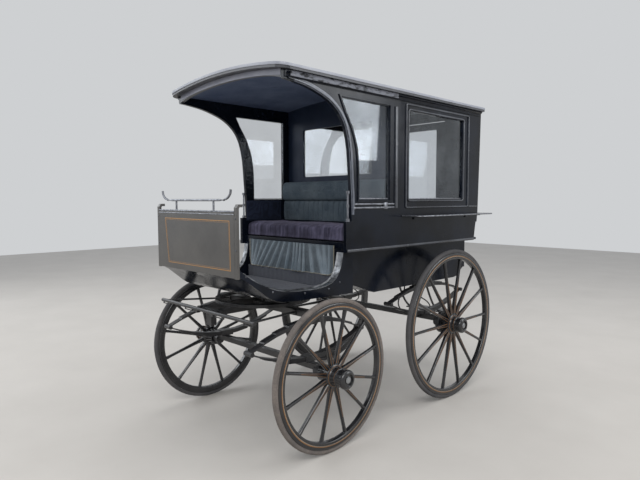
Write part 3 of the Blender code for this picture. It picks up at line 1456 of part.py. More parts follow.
def brake_lines(group):
    """Brake hose and brake cable at each rear spring, from the body's floor to the axle."""
    top = LOWER_BASE - TOUCH
    axle_z = REAR_RADIUS + REAR_BED_RISE
    lines = (
        {"name": "brake_hose_", "shares": HOSE_SHARES, "reach": -LINE_ROOM,
         "y": HALF_WHEELBASE - AXLE_SIZE / 2 - TOUCH},
        {"name": "brake_cable_", "shares": CABLE_SHARES, "reach": LINE_ROOM,
         "y": HALF_WHEELBASE + AXLE_SIZE / 2 + TOUCH},
    )
    for side, hand in SIDES:
        x = hand * (REAR_SPRING_X - SPRING_WIDTH / 2 - LINE_INSET)
        for row in lines:
            near = row["y"] + math.copysign(LINE_FERRULE, row["reach"])
            bend = placed(row["shares"], (near, axle_z), (near + row["reach"], top - LINE_FERRULE))
            path = [(bend[0][0], top)] + softened(bend, 2) + [(row["y"], axle_z)]
            line = tube(row["name"] + side, [(x, y, z) for y, z in path], LINE_RADIUS, 3)
            line.name = row["name"] + side
            finish(line, rubber_black(), group)


def rubber_black():
    return material("black_rubber", (0.018, 0.018, 0.019), 0.6)


def build():
    root = empty("carriage", (0, 0, 0))
    fore = empty("fore_carriage", (0, -HALF_WHEELBASE, 0))
    door = empty("door_hinge", (*hinge_line(), 0))
    fore.parent = root
    door.parent = root
    for row in WHEELS:
        for side, hand in SIDES:
            wheel(row, side, hand, root)
    front_top = FRONT_RADIUS + FRONT_BED_RISE + AXLE_SIZE / 2 + TOUCH
    rear_top = REAR_RADIUS + REAR_BED_RISE + AXLE_SIZE / 2 + TOUCH
    axle("front_axle", -HALF_WHEELBASE, FRONT_RADIUS, FRONT_BED_RISE, fore)
    axle("rear_axle", HALF_WHEELBASE, REAR_RADIUS, REAR_BED_RISE, root)
    springs("front", FRONT_SPRING_X, -HALF_WHEELBASE, front_top, BED_BASE - TOUCH,
            FRONT_SPRING_HALF, FRONT_EYE_SHARE, fore)
    springs("rear", REAR_SPRING_X, HALF_WHEELBASE, rear_top, LOWER_BASE - TOUCH,
            REAR_SPRING_HALF, REAR_EYE_SHARE, root)
    fore_frame(fore)
    splinter_bar(fore)
    transom(root)
    footwell(root)
    foot_carpet(root)
    for side, hand in SIDES:
        scuff_plate(side, hand, root)
    lower_body(root)
    side_panels(root)
    side_panes(root)
    roof(root)
    roof_lining(root)
    partition(root)
    rear_frame(root)
    rear_door(door)
    dashboard(root)
    rein_rail(root)
    seat_box(root)
    driver_cushions(root)
    seat_fall(root)
    benches(root)
    mudguards(root)
    grab_handles(root)
    rear_step(root)
    brake_lines(root)
    root.location = (0, -MIDSHIP, 0)


clear_scene()
PARTS = new_collection("station_omnibus")
CUTTERS = new_collection("cutters")
build()
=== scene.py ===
"""Looks of the horse drawn station omnibus: paint, upholstery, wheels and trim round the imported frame.

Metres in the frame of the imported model: +Z up, +X the carriage's left side, front towards -Y.
"""
import math

import bmesh
import bpy
from mathutils import Matrix, Vector, noise
from mathutils.bvhtree import BVHTree

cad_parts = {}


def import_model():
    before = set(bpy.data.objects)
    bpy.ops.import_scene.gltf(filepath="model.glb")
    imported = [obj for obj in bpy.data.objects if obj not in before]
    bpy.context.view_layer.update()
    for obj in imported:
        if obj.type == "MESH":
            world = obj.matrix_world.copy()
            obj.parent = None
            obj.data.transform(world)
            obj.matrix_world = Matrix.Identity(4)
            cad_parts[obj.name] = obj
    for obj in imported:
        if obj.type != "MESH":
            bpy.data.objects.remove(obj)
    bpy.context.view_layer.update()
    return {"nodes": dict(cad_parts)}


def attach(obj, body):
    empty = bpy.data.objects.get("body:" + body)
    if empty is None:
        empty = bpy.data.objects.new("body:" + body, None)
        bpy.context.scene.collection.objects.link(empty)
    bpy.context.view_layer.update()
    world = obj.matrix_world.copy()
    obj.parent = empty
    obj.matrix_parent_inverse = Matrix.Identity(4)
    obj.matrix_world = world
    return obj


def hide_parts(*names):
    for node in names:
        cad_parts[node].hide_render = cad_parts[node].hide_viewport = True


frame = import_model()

NODES = frame["nodes"]
SIDES = (("left", 1), ("right", -1))
MM = 0.001

SOCKETS = {
    "base": "Base Color", "rough": "Roughness", "metal": "Metallic", "coat": "Coat Weight",
    "coat_rough": "Coat Roughness", "sheen": "Sheen Weight", "sheen_rough": "Sheen Roughness",
    "sheen_tint": "Sheen Tint", "specular": "Specular IOR Level", "normal": "Normal",
}


# Materials

MATERIALS = {}


def seen(red, green, blue):
    """A colour given as it looks on a screen, 0 to 255 a channel, as linear light."""
    shares = [channel / 255 for channel in (red, green, blue)]
    return (*[s / 12.92 if s <= 0.04045 else ((s + 0.055) / 1.055) ** 2.4 for s in shares], 1.0)


class Look:
    """A node material being put together and kept under its name: textures in the piece's own space."""

    def __init__(self, name, **settings):
        self.material = MATERIALS[name] = bpy.data.materials.new(name)
        self.material.use_nodes = True
        self.tree = self.material.node_tree
        self.shader = self.tree.nodes["Principled BSDF"]
        self.here = self.node("ShaderNodeTexCoord").outputs["Object"]
        for key, value in settings.items():
            self.shader.inputs[SOCKETS[key]].default_value = value

    def node(self, kind, inputs=(), **settings):
        made = self.tree.nodes.new(kind)
        for key, value in settings.items():
            setattr(made, key, value)
        for socket, value in dict(inputs).items():
            self.put(made.inputs[socket], value)
        return made

    def put(self, socket, value):
        if isinstance(value, bpy.types.NodeSocket):
            self.tree.links.new(value, socket)
        else:
            socket.default_value = value

    def drive(self, key, value):
        self.put(self.shader.inputs[SOCKETS[key]], value)

    def stretched(self, scale):
        return self.node("ShaderNodeMapping", {"Vector": self.here, "Scale": scale}).outputs["Vector"]

    def noise(self, scale, detail=4.0, rough=0.55, space=None):
        inputs = {"Vector": space or self.here, "Scale": scale, "Detail": detail, "Roughness": rough}
        return self.node("ShaderNodeTexNoise", inputs).outputs["Fac"]

    def patches(self, scale, detail, rough, low, high, least=0.0, most=1.0, space=None):
        """Noise cut to patches: least below the low mark and most above the high one."""
        return self.ramp(self.noise(scale, detail, rough, space), ((low, least), (high, most)))

    def wave(self, scale, direction, distortion):
        inputs = {"Vector": self.here, "Scale": scale, "Distortion": distortion, "Detail": 2.0}
        return self.node("ShaderNodeTexWave", inputs, bands_direction=direction).outputs["Fac"]

    def spots(self, scale):
        return self.node("ShaderNodeTexVoronoi", {"Vector": self.here, "Scale": scale}).outputs["Distance"]

    def ramp(self, value, stops):
        """A colour ramp over the value; stops are (place, colour or grey)."""
        made = self.node("ShaderNodeValToRGB", {"Fac": value})
        ramp = made.color_ramp
        while len(ramp.elements) < len(stops):
            ramp.elements.new(0.5)
        for element, (place, tone) in zip(ramp.elements, stops):
            element.position = place
            element.color = tone if isinstance(tone, tuple) else (tone, tone, tone, 1.0)
        return made.outputs["Color"]

    def sums(self, operation, first, second):
        return self.node("ShaderNodeMath", {0: first, 1: second}, operation=operation).outputs["Value"]

    def mixed(self, share, first, second, blend="MIX"):
        made = self.node("ShaderNodeMix", data_type="RGBA", blend_type=blend)
        for socket, value in (("Factor", share), ("A", first), ("B", second)):
            self.put(made.inputs[socket], value)
        return made.outputs["Result"]

    def bump(self, height, strength, distance, below=None):
        inputs = {"Height": height, "Strength": strength, "Distance": distance}
        if below is not None:
            inputs["Normal"] = below
        return self.node("ShaderNodeBump", inputs).outputs["Normal"]

    def rounded(self, radius):
        return self.node("ShaderNodeBevel", {"Radius": radius}, samples=4).outputs["Normal"]

    def edges(self, radius):
        """1 on edges and 0 on open surfaces."""
        smooth = self.rounded(radius)
        flat = self.node("ShaderNodeNewGeometry").outputs["Normal"]
        apart = self.node("ShaderNodeVectorMath", {0: smooth, 1: flat}, operation="DOT_PRODUCT")
        return self.ramp(self.sums("SUBTRACT", 1.0, apart.outputs["Value"]), ((0.02, 0.0), (0.30, 1.0)))


def paint(name, deep, dusty, rough=(0.16, 0.38), edge=0.0025, wear_and_highlight=0.5, coat=0.35, dust_scale=3.0, gloss=0.5):
    """Old coach paint: deep colour, a greyed bloom, faint grain, and edges painted pale grey, partly as
    rubbed paint and partly as painted edge highlight.
    """
    look = Look(name, coat=coat, coat_rough=0.12, specular=gloss)
    body = look.mixed(look.patches(dust_scale, 6.0, 0.62, 0.36, 0.72), deep, dusty)
    # edges painted pale grey in patches: partly rubbed paint, partly painted highlight
    rubbed_and_highlit = look.sums("MULTIPLY", look.edges(edge), look.patches(38.0, 3.0, 0.55, 0.38, 0.70, 0.0, wear_and_highlight))
    look.drive("base", look.mixed(rubbed_and_highlit, body, seen(132, 134, 140)))
    look.drive("rough", look.patches(9.0, 5.0, 0.6, 0.30, 0.72, *rough))
    grain = look.noise(150.0, 3.0, 0.5)
    brushed = look.noise(26.0, 4.0, 0.5, look.stretched((1.0, 0.12, 1.0)))
    soft = look.rounded(edge)
    look.drive("normal", look.bump(brushed, 0.10, 0.0010, look.bump(grain, 0.10, 0.0004, soft)))


def metal(name, tone, dull, rough, scale=40.0, edge=0.0015):
    """Bare or plated metal with scratches and dull patches."""
    look = Look(name, metal=1.0)
    look.drive("base", look.mixed(look.patches(scale, 6.0, 0.65, 0.38, 0.66), tone, dull))
    look.drive("rough", look.patches(scale * 1.7, 4.0, 0.6, 0.3, 0.7, *rough))
    scratches = look.noise(scale * 4, 3.0, 0.6, look.stretched((1.0, 0.15, 1.0)))
    look.drive("normal", look.bump(scratches, 0.18, 0.0005, look.rounded(edge)))


def flaked_paint():
    """Black paint flaking off a greyed wooden moulding."""
    look = Look("flaked_paint", rough=0.55, specular=0.4)
    along = look.stretched((1.0, 0.35, 1.0))
    bare = look.patches(46.0, 7.0, 0.72, 0.44, 0.50, space=along)
    wood = look.mixed(look.noise(90.0, 4.0, 0.6, along), seen(92, 94, 102), seen(150, 152, 160))
    look.drive("base", look.mixed(bare, seen(24, 25, 30), wood))
    look.drive("normal", look.bump(bare, 0.6, -0.0012, look.rounded(0.002)))


THREADS = 900.0
NAP = 90.0


def cloth(name, deep, light, sheen=0.35, depth=None):
    """Woven wool: crossed threads, nap and a faded bloom; depth is the y of its hollows and ridges, and the
    hollows get painted shade.
    """
    look = Look(name, rough=0.92, specular=0.25, sheen=sheen, sheen_rough=0.45)
    look.drive("sheen_tint", light)
    warp, weft, lines = [look.wave(THREADS, direction, 1.2) for direction in "XZY"]
    weave = look.sums("ADD", look.sums("MULTIPLY", warp, weft), look.sums("MULTIPLY", lines, 0.5))
    fibres = look.noise(NAP * 6, 4.0, 0.7)
    tone = look.mixed(look.patches(5.0, 5.0, 0.65, 0.34, 0.70), deep, light)
    pale, white = seen(150, 150, 150), seen(255, 255, 255)
    shade = look.ramp(look.sums("MULTIPLY", weave, fibres), ((0.05, pale), (0.60, white)))
    base = look.mixed(1.0, tone, shade, "MULTIPLY")
    if depth:
        level = look.node("ShaderNodeSeparateXYZ", {"Vector": look.here}).outputs["Y"]
        share = look.sums("DIVIDE", look.sums("SUBTRACT", level, depth[0]), depth[1] - depth[0])
        # painted shade: the colour darkens towards the y of the fold hollows
        painted_hollow_shade = look.ramp(share, ((0.0, 0.60), (0.30, 0.16), (0.70, 0.0)))
        base = look.mixed(painted_hollow_shade, base, seen(16, 20, 26))
    look.drive("base", base)
    nap_height = look.bump(look.noise(NAP, 5.0, 0.6), 0.35, 0.0015)
    look.drive("normal", look.bump(weave, 0.35, 0.0005, nap_height))


def velour():
    """Dark purple-black pile, brushed in streaks and greyed where it is rubbed."""
    look = Look("velour", rough=0.95, specular=0.2, sheen=0.35, sheen_rough=0.35)
    look.drive("sheen_tint", seen(150, 142, 160))
    streaks = look.noise(22.0, 5.0, 0.6, look.stretched((2.2, 1.0, 0.18)))
    patches = look.noise(6.0, 5.0, 0.6)
    pile = look.ramp(look.sums("MULTIPLY", streaks, patches), (
        (0.10, seen(28, 26, 36)), (0.24, seen(54, 51, 66)), (0.42, seen(92, 88, 108))))
    look.drive("base", pile)
    fluff = look.bump(look.noise(420.0, 4.0, 0.7), 0.5, 0.0012)
    look.drive("normal", look.bump(streaks, 0.3, 0.003, fluff))


def carpet():
    """Dark grey ribbed carpet, the ribs running across, with pale lint."""
    look = Look("ribbed_carpet", rough=0.97, specular=0.15, sheen=0.2)
    ribs = look.wave(52.0, "X", 0.35)
    tufts = look.noise(330.0, 4.0, 0.75)
    lint = look.patches(160.0, 6.0, 0.8, 0.60, 0.74)
    ground = look.ramp(look.sums("MULTIPLY", ribs, tufts), (
        (0.05, seen(30, 32, 39)), (0.30, seen(60, 63, 73)), (0.55, seen(94, 97, 107))))
    look.drive("base", look.mixed(lint, ground, seen(150, 150, 156)))
    look.drive("normal", look.bump(ribs, 0.7, 0.0022, look.bump(tufts, 0.6, 0.0015)))


def tyre_rubber(name, dark, light):
    """Road-worn rubber, mottled and dusty."""
    look = Look(name, rough=0.86, specular=0.3)
    grey = look.mixed(look.patches(7.0, 6.0, 0.65, 0.32, 0.70), dark, light)
    fine = look.sums("MULTIPLY", look.patches(95.0, 6.0, 0.75, 0.36, 0.72), 0.55)
    look.drive("base", look.mixed(fine, grey, seen(58, 56, 56)))
    pits = look.bump(look.spots(150.0), 0.25, 0.0010)
    look.drive("normal", look.bump(look.noise(70.0, 5.0, 0.7), 0.4, 0.0014, pits))


def window_glass(name, face_on):
    """Thin clear glass with a film of dust: it mirrors most at a slant and least, by face_on, seen square."""
    look = Look(name)
    clear = look.node("ShaderNodeBsdfTransparent", {"Color": (0.92, 0.93, 0.94, 1.0)})
    mirror = look.node("ShaderNodeBsdfGlossy", {"Color": (0.92, 0.96, 1.0, 1.0), "Roughness": 0.03})
    slant = look.node("ShaderNodeLayerWeight", {"Blend": 0.5})
    steep = look.sums("MULTIPLY", look.sums("POWER", slant.outputs["Facing"], 5.0), 1 - face_on)
    film = look.patches(3.5, 5.0, 0.6, 0.40, 0.80, face_on, face_on + 0.05)
    share = look.sums("ADD", steep, film)
    both = look.node("ShaderNodeMixShader", {"Fac": share})
    look.put(both.inputs[1], clear.outputs["BSDF"])
    look.put(both.inputs[2], mirror.outputs["BSDF"])
    out = next(n for n in look.tree.nodes if n.type == "OUTPUT_MATERIAL")
    look.put(out.inputs["Surface"], both.outputs["Shader"])
    look.tree.nodes.remove(look.shader)


# Body: near-black paint with a blue tint that is painted sky reflection.
paint("body_paint", seen(7, 10, 17), seen(19, 25, 37), rough=(0.12, 0.30), coat=0.06, gloss=0.22)
# Hood pillar: pale grey paint that is painted sky reflection at a grazing angle.
paint("pillar_paint", seen(76, 80, 90), seen(114, 118, 128), rough=(0.18, 0.34), wear_and_highlight=0.9, edge=0.003)
flaked_paint()
# The fall's fold hollows get painted shade through depth.
cloth("fall_cloth", seen(136, 151, 162), seen(176, 187, 194), depth=(-0.5265, -0.5400))
# Dash: warm grey that is painted reflection of the bright ground on black paint.
paint("dash_paint", seen(66, 64, 62), seen(84, 81, 77), rough=(0.30, 0.5), wear_and_highlight=0.35, coat=0.15)
paint("roof_paint", seen(46, 47, 52), seen(92, 93, 98), rough=(0.35, 0.6), coat=0.1, dust_scale=9.0)
paint("board_paint", seen(112, 113, 125), seen(138, 139, 151), rough=(0.4, 0.6), coat=0.1)
# Mouldings: paint paler than the body, as painted highlight of the sky on their round tops.
paint("moulding_paint", seen(40, 42, 48), seen(84, 87, 94), rough=(0.14, 0.3), wear_and_highlight=0.9, edge=0.003)
metal("edge_metal", seen(150, 152, 158), seen(92, 94, 100), rough=(0.34, 0.56))
paint("strip_paint", seen(138, 140, 149), seen(166, 168, 175), rough=(0.4, 0.6), coat=0.1)
metal("bolt_metal", seen(120, 122, 128), seen(60, 61, 66), rough=(0.35, 0.6))
cloth("trim_cloth", seen(34, 42, 62), seen(46, 54, 76), sheen=0.10)
cloth("piping", seen(150, 146, 132), seen(178, 172, 156), sheen=0.1)
paint("wheel_paint", seen(18, 19, 22), seen(44, 43, 44), rough=(0.12, 0.32), wear_and_highlight=0.75, edge=0.0018,
      dust_scale=7.0)
paint("iron_paint", seen(20, 21, 24), seen(52, 50, 50), rough=(0.3, 0.55), wear_and_highlight=0.8, edge=0.002,
      coat=0.15, dust_scale=8.0)
metal("worn_steel", seen(150, 152, 156), seen(26, 28, 32), rough=(0.24, 0.50), scale=11.0)
metal("handle_metal", seen(214, 206, 180), seen(150, 140, 112), rough=(0.15, 0.35))
cloth("blue_cloth", seen(80, 93, 104), seen(116, 127, 134))
cloth("lining_cloth", seen(86, 101, 134), seen(112, 126, 156), sheen=0.15)
paint("inner_paint", seen(25, 33, 50), seen(39, 49, 68), rough=(0.4, 0.6), coat=0.0, gloss=0.2)
velour()
carpet()
tyre_rubber("tyre_rubber", seen(98, 92, 88), seen(134, 124, 116))
tyre_rubber("dark_tyre_rubber", seen(66, 66, 68), seen(90, 87, 86))
window_glass("window_glass", 0.045)
paint("gold_line", seen(146, 98, 46), seen(104, 72, 42), rough=(0.4, 0.6), wear_and_highlight=0.1, coat=0.1)
paint("dash_gold", seen(178, 128, 66), seen(150, 110, 62), rough=(0.4, 0.6), wear_and_highlight=0.1, coat=0.1)
paint("pale_line", seen(176, 164, 146), seen(124, 114, 102), rough=(0.4, 0.6), wear_and_highlight=0.1, coat=0.1)
metal("cap_metal", seen(168, 170, 172), seen(120, 122, 126), rough=(0.30, 0.55))
paint("black_rubber", seen(24, 24, 26), seen(44, 43, 42), rough=(0.5, 0.7), coat=0.0, wear_and_highlight=0.2)

LOOKS = {
    "tyre_rubber": ("tyre_",), "wheel_paint": ("wheel_",), "velour": ("driver_cushion", "bench_cushion"),
    "blue_cloth": ("driver_backrest", "seat_fall"), "ribbed_carpet": ("floor_carpet",),
    "lining_cloth": ("roof_lining",), "dash_paint": ("dashboard",), "roof_paint": ("roof",),
    "worn_steel": ("scuff_plate",), "edge_metal": ("rein_rail", "grab_handle"), "inner_paint": ("partition",),
    "handle_metal": ("door_handle",), "black_rubber": ("brake_hose", "brake_cable"),
    "iron_paint": ("front_axle", "rear_axle", "front_spring", "rear_spring", "splinter_bar", "rear_step",
                   "brake_drum", "fore_carriage_frame", "transom"),
    "window_glass": ("door_glass", "partition_glass", "quarter_glass", "side_glass"),
}


def look_of(node):
    """The material of a CAD node, by the longest start of its name in the table, or else the body's paint."""
    found = [(len(start), look) for look, starts in LOOKS.items() for start in starts
             if node.startswith(start)]
    return max(found, default=(0, "body_paint"))[1]


for node_name, node_object in NODES.items():
    node_object.data.materials.clear()
    node_object.data.materials.append(MATERIALS[look_of(node_name)])


# Shapes

def added(name, data):
    """A new object in the scene."""
    made = bpy.data.objects.new(name, data)
    bpy.context.scene.collection.objects.link(made)
    return made


class Shape:
    """A mesh being put together from turned, swept and boxed forms."""

    def __init__(self):
        self.work = bmesh.new()

    def skin(self, rows, closed_rows=False, closed_columns=True, caps=False):
        """Faces between rows of points."""
        rings = [[self.work.verts.new(point) for point in row] for row in rows]
        for first, second in zip(rings, rings[1:] + (rings[:1] if closed_rows else [])):
            count = len(first)
            for i in range(count if closed_columns else count - 1):
                j = (i + 1) % count
                self.work.faces.new((first[i], first[j], second[j], second[i]))
        if caps:
            self.work.faces.new(rings[0][::-1])
            self.work.faces.new(rings[-1])

    def turned(self, profile, place, steps, axis="X", closed=False):
        """A form turned about an axis through the place: profile points are (along, radius)."""
        rows = []
        for i in range(steps):
            turn = 2 * math.pi * i / steps
            c, s = math.cos(turn), math.sin(turn)
            rows.append([Vector(place) + Vector((a, r * c, r * s) if axis == "X" else (r * s, a, r * c))
                         for a, r in profile])
        self.skin(rows, closed_rows=True, closed_columns=closed)

    def swept(self, path, face, section, closed=False):
        """A moulding along a line in a plane: section points are (across, proud of the face)."""
        face = Vector(face)
        rows = []
        last = len(path) - 1
        for i, spot in enumerate(path):
            spot = Vector(spot)
            before = spot - Vector(path[i - 1])
            after = Vector(path[(i + 1) % len(path)]) - spot
            if not closed and i == 0:
                before = after
            if not closed and i == last:
                after = before
            before.normalize()
            after.normalize()
            across = face.cross(before + after).normalized()
            mitre = 1 / max(across.dot(face.cross(before)), 0.35)
            rows.append([spot + across * (u * mitre) + face * v for u, v in section])
        self.skin(rows, closed_rows=closed, caps=not closed)

    def tube(self, path, radius, sides):
        """A round bar through the points."""
        path = [Vector(spot) for spot in path]
        along = (path[1] - path[0]).normalized()
        side = along.orthogonal().normalized()
        rows = []
        for i, spot in enumerate(path):
            ahead = (path[min(i + 1, len(path) - 1)] - path[max(i - 1, 0)]).normalized()
            side = (side - ahead * side.dot(ahead)).normalized()
            up = ahead.cross(side)
            turns = [2 * math.pi * k / sides for k in range(sides)]
            rows.append([spot + side * radius * math.cos(t) + up * radius * math.sin(t) for t in turns])
        self.skin(rows, caps=True)

    def block(self, low, high, bevel=0.0, segments=2):
        """A box between two corners with rounded edges."""
        before = set(self.work.verts)
        bmesh.ops.create_cube(self.work, size=1.0)
        fresh = [v for v in self.work.verts if v not in before]
        size = [b - a for a, b in zip(low, high)]
        middle = [(a + b) / 2 for a, b in zip(low, high)]
        bmesh.ops.scale(self.work, vec=size, verts=fresh)
        bmesh.ops.translate(self.work, vec=middle, verts=fresh)
        if bevel:
            edges = list({e for v in fresh for e in v.link_edges})
            bmesh.ops.bevel(self.work, geom=edges, offset=bevel, segments=segments, profile=0.5,
                            affect="EDGES")

    def slab(self, *pairs, bevel):
        """A box given by a pair of places on each axis, in either order."""
        self.block(*zip(*[sorted(pair) for pair in pairs]), bevel=bevel)

    def dome(self, place, axis, radius, height, sides):
        """A bolt or rivet head: the height's sign gives the way it faces."""
        h = abs(height)
        way = 1 if height > 0 else -1
        arc = [(way * (-0.0006), radius), (way * h * 0.45, radius), (way * h * 0.85, radius * 0.72),
               (way * h, radius * 0.35), (way * h, 0.0)]
        self.turned([(way * (-0.0006), 0.0)] + arc, place, sides, axis)

    def piece(self, name, look, body, slot, replaces=(), angle=38):
        """The finished piece, riding on a body in the frame and standing for the CAD nodes it replaces."""
        bmesh.ops.remove_doubles(self.work, verts=self.work.verts, dist=0.00002)
        bmesh.ops.recalc_face_normals(self.work, faces=self.work.faces)
        mesh = bpy.data.meshes.new(name)
        self.work.to_mesh(mesh)
        self.work.free()
        mesh.materials.append(MATERIALS[look])
        mesh.shade_smooth()
        mesh.set_sharp_from_angle(angle=math.radians(angle))
        made = added(name, mesh)
        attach(made, body)
        if replaces:
            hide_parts(*replaces)
        return made


def skinned(rows, *settings, **more):
    """A closed skin over rows of points, made into a piece."""
    shape = Shape()
    shape.skin(rows, caps=True)
    return shape.piece(*settings, **more)


def softened(points, per_span):
    """A smooth line through the points."""
    path = []
    last = len(points) - 1
    for i in range(last):
        a, b, c, d = [Vector(points[min(max(k, 0), last)]) for k in (i - 1, i, i + 1, i + 2)]
        for step in range(per_span):
            t = step / per_span
            path.append((2 * b + (c - a) * t + (2 * a - 5 * b + 4 * c - d) * t ** 2
                         + (3 * b - a - 3 * c + d) * t ** 3) / 2)
    path.append(Vector(points[last]))
    return path


def curved(points, per_span):
    """A smooth line through points given as pairs."""
    return [(spot.x, spot.y) for spot in softened([(a, b, 0.0) for a, b in points], per_span)]


def spread(low, high, steps):
    """Evenly spaced places from low to high, both ends included."""
    return [low + (high - low) * i / steps for i in range(steps + 1)]


def waves(x, y, z, scale, depth):
    """A small smooth unevenness of a surface, the same at every run."""
    return depth * noise.noise(Vector((x * scale, y * scale, z)))


# Wheels

HALF_TRACK = 0.680
FRONT = {"y": -0.7605, "radius": 0.475, "spokes": 12, "nave": 0.103}
REAR = {"y": 0.5615, "radius": 0.579, "spokes": 14, "nave": 0.084}
TYRE_DEPTH = 0.027
FELLOE_DEPTH = 0.048
FELLOE_HALF = 0.0198
TYRE_HALF = 0.0168
TREAD = ((0.99, 11), (0.88, 6), (0.66, 2.4), (0.36, 0.5), (0.0, 0))
NAVE_BACK = -0.095
RIM_STEPS = 96
HUB_STEPS = 48
SPOKE_ROOT = 0.066
NOSE_LENGTH = 0.0295
BAND_ROOT = 0.025
NOSE = ((-6, 0), (-5.2, 15), (-5.5, 20.5), (-6.8, 22.8), (-10, 23.6), (-10.2, 35), (-1.5, 36.2), (0, 38),
        (0, 45), (-1.8, 49), (-6, 54.8), (-12, 58.8))
OUTER_BAND = ((3.5, 59.8), (0.5, 59), (-1, 52.8))
MIDDLE_BAND = ((13, 52.4), (5, 54.2), (3.5, 57.2), (0, 58.8), (-3.5, 57.2), (-5, 54.8))
BARREL = ((29, 58.5), (26.2, 61.5), (24, 62.2), (20.5, 64), (18, 70), (16, 71.6), (-16, 71.6), (-18, 70),
          (-20.5, 64), (-25, 59), (-40, 56), (-64, 52))
NAVE_END = ((3, 51.6), (0, 49), (0, 21.5), (6, 21.5), (6, 0))
CAP_DISC = ((-6, 0), (-6, 19.6), (-4.6, 19.6), (-4, 18.2), (-4, 8), (-3.2, 7), (-3.2, 0))
SPOKE_STATIONS = ((0.0, 13.5, 16.5, 0.30), (0.10, 13.8, 16.5, 0.30), (0.16, 12.8, 16.0, 0.55),
                  (0.30, 12.0, 15.0, 0.85), (0.50, 11.0, 14.2, 1.0), (0.72, 10.3, 13.2, 1.0),
                  (0.88, 10.2, 12.6, 0.8), (0.94, 11.2, 12.8, 0.45), (1.0, 11.2, 12.8, 0.40))
SPOKE_LINE = ((0.035, 16.4, 9.2), (0.10, 16.4, 9.2), (0.20, 15.2, 6.8), (0.35, 14.2, 5.0), (0.52, 13.7, 3.2),
              (0.66, 13.3, 0.9))


def rounded_profile(points, radius, steps=3):
    """A closed profile with its corners rounded."""
    made = []
    count = len(points)
    for i in range(count):
        here = Vector(points[i])
        before = Vector(points[i - 1]) - here
        after = Vector(points[(i + 1) % count]) - here
        size = min(radius, before.length * 0.45, after.length * 0.45)
        start = here + before.normalized() * size
        end = here + after.normalized() * size
        for k in range(steps + 1):
            t = k / steps
            made.append(tuple(start * (1 - t) ** 2 + here * 2 * t * (1 - t) + end * t ** 2))
    return made


def spoke_ways(row):
    """For each spoke of a wheel, the way it points and the way across it."""
    turns = [2 * math.pi * (i + 0.5) / row["spokes"] for i in range(row["spokes"])]
    return [(Vector((0, math.sin(t), math.cos(t))), Vector((0, math.cos(t), -math.sin(t)))) for t in turns]


def spoke_rows(centre, way, side, near, far, hand):
    """Sections of one spoke: a square root, an oval waist and a shouldered tongue at the felloe."""
    axis = Vector((hand, 0, 0))
    rows = []
    for share, half_side, half_axis, roundness in SPOKE_STATIONS:
        spot = centre + way * (near + (far - near) * share)
        ring = []
        for k in range(16):
            a = 2 * math.pi * (k + 0.5) / 16
            c, s = math.cos(a), math.sin(a)
            square = max(abs(c), abs(s))
            c, s = [v * roundness + v / square * (1 - roundness) for v in (c, s)]
            ring.append(spot + side * half_side * c * MM + axis * half_axis * s * MM)
        rows.append(ring)
    return rows


def wheel_wood(row):
    """Felloe, spokes and banded nave of one wheel."""
    shape = Shape()
    hand, centre = row["hand"], row["centre"]
    rim_out = row["radius"] - TYRE_DEPTH
    rim_in = rim_out - FELLOE_DEPTH
    half = FELLOE_HALF
    felloe = rounded_profile([(half, rim_out), (-half, rim_out), (-half, rim_in), (half, rim_in)], 0.010, 4)
    felloe = [(a, max(r, rim_in) if r < rim_out - 0.012 else r) for a, r in felloe]
    shape.turned(felloe, centre, RIM_STEPS, closed=True)
    for way, side in spoke_ways(row):
        shape.skin(spoke_rows(centre, way, side, SPOKE_ROOT, rim_in + 0.006, hand), caps=True)
    out = row["nave"]
    parts = ((out + NOSE_LENGTH, NOSE), (out, OUTER_BAND), ((BAND_ROOT + out) / 2, MIDDLE_BAND),
             (0.0, BARREL), (NAVE_BACK, NAVE_END))
    profile = [(hand * (start + a * MM), r * MM) for start, points in parts for a, r in points]
    shape.turned(profile, centre, HUB_STEPS)
    node = "wheel_" + row["name"]
    shape.piece("spoked_" + node, "wheel_paint", row["body"], "black_paint", (node,), angle=30)


def wheel_tyre(row):
    """Rubber tyre with a round tread and shoulders, held in the rim."""
    shape = Shape()
    top = row["radius"] - 0.0002
    half = TYRE_HALF
    seat = row["radius"] - TYRE_DEPTH + 0.0003
    profile = [(half * 0.86, seat), (half * 0.90, seat + 0.004), (half, seat + 0.009)]
    profile += [(half * share, top - under * MM) for share, under in TREAD]
    profile += [(-a, r) for a, r in reversed(profile[:-1])]
    shape.turned(profile, row["centre"], RIM_STEPS, closed=True)
    name = "tyre_" + row["name"]
    look = "tyre_rubber" if row["name"] == "front_left" else "dark_tyre_rubber"
    shape.piece("rubber_" + name, look, row["body"], "tyre_rubber", (name,))


def boxed(first, last, low, high):
    """The corners of a rectangle, in order."""
    return [(first, low), (last, low), (last, high), (first, high)]


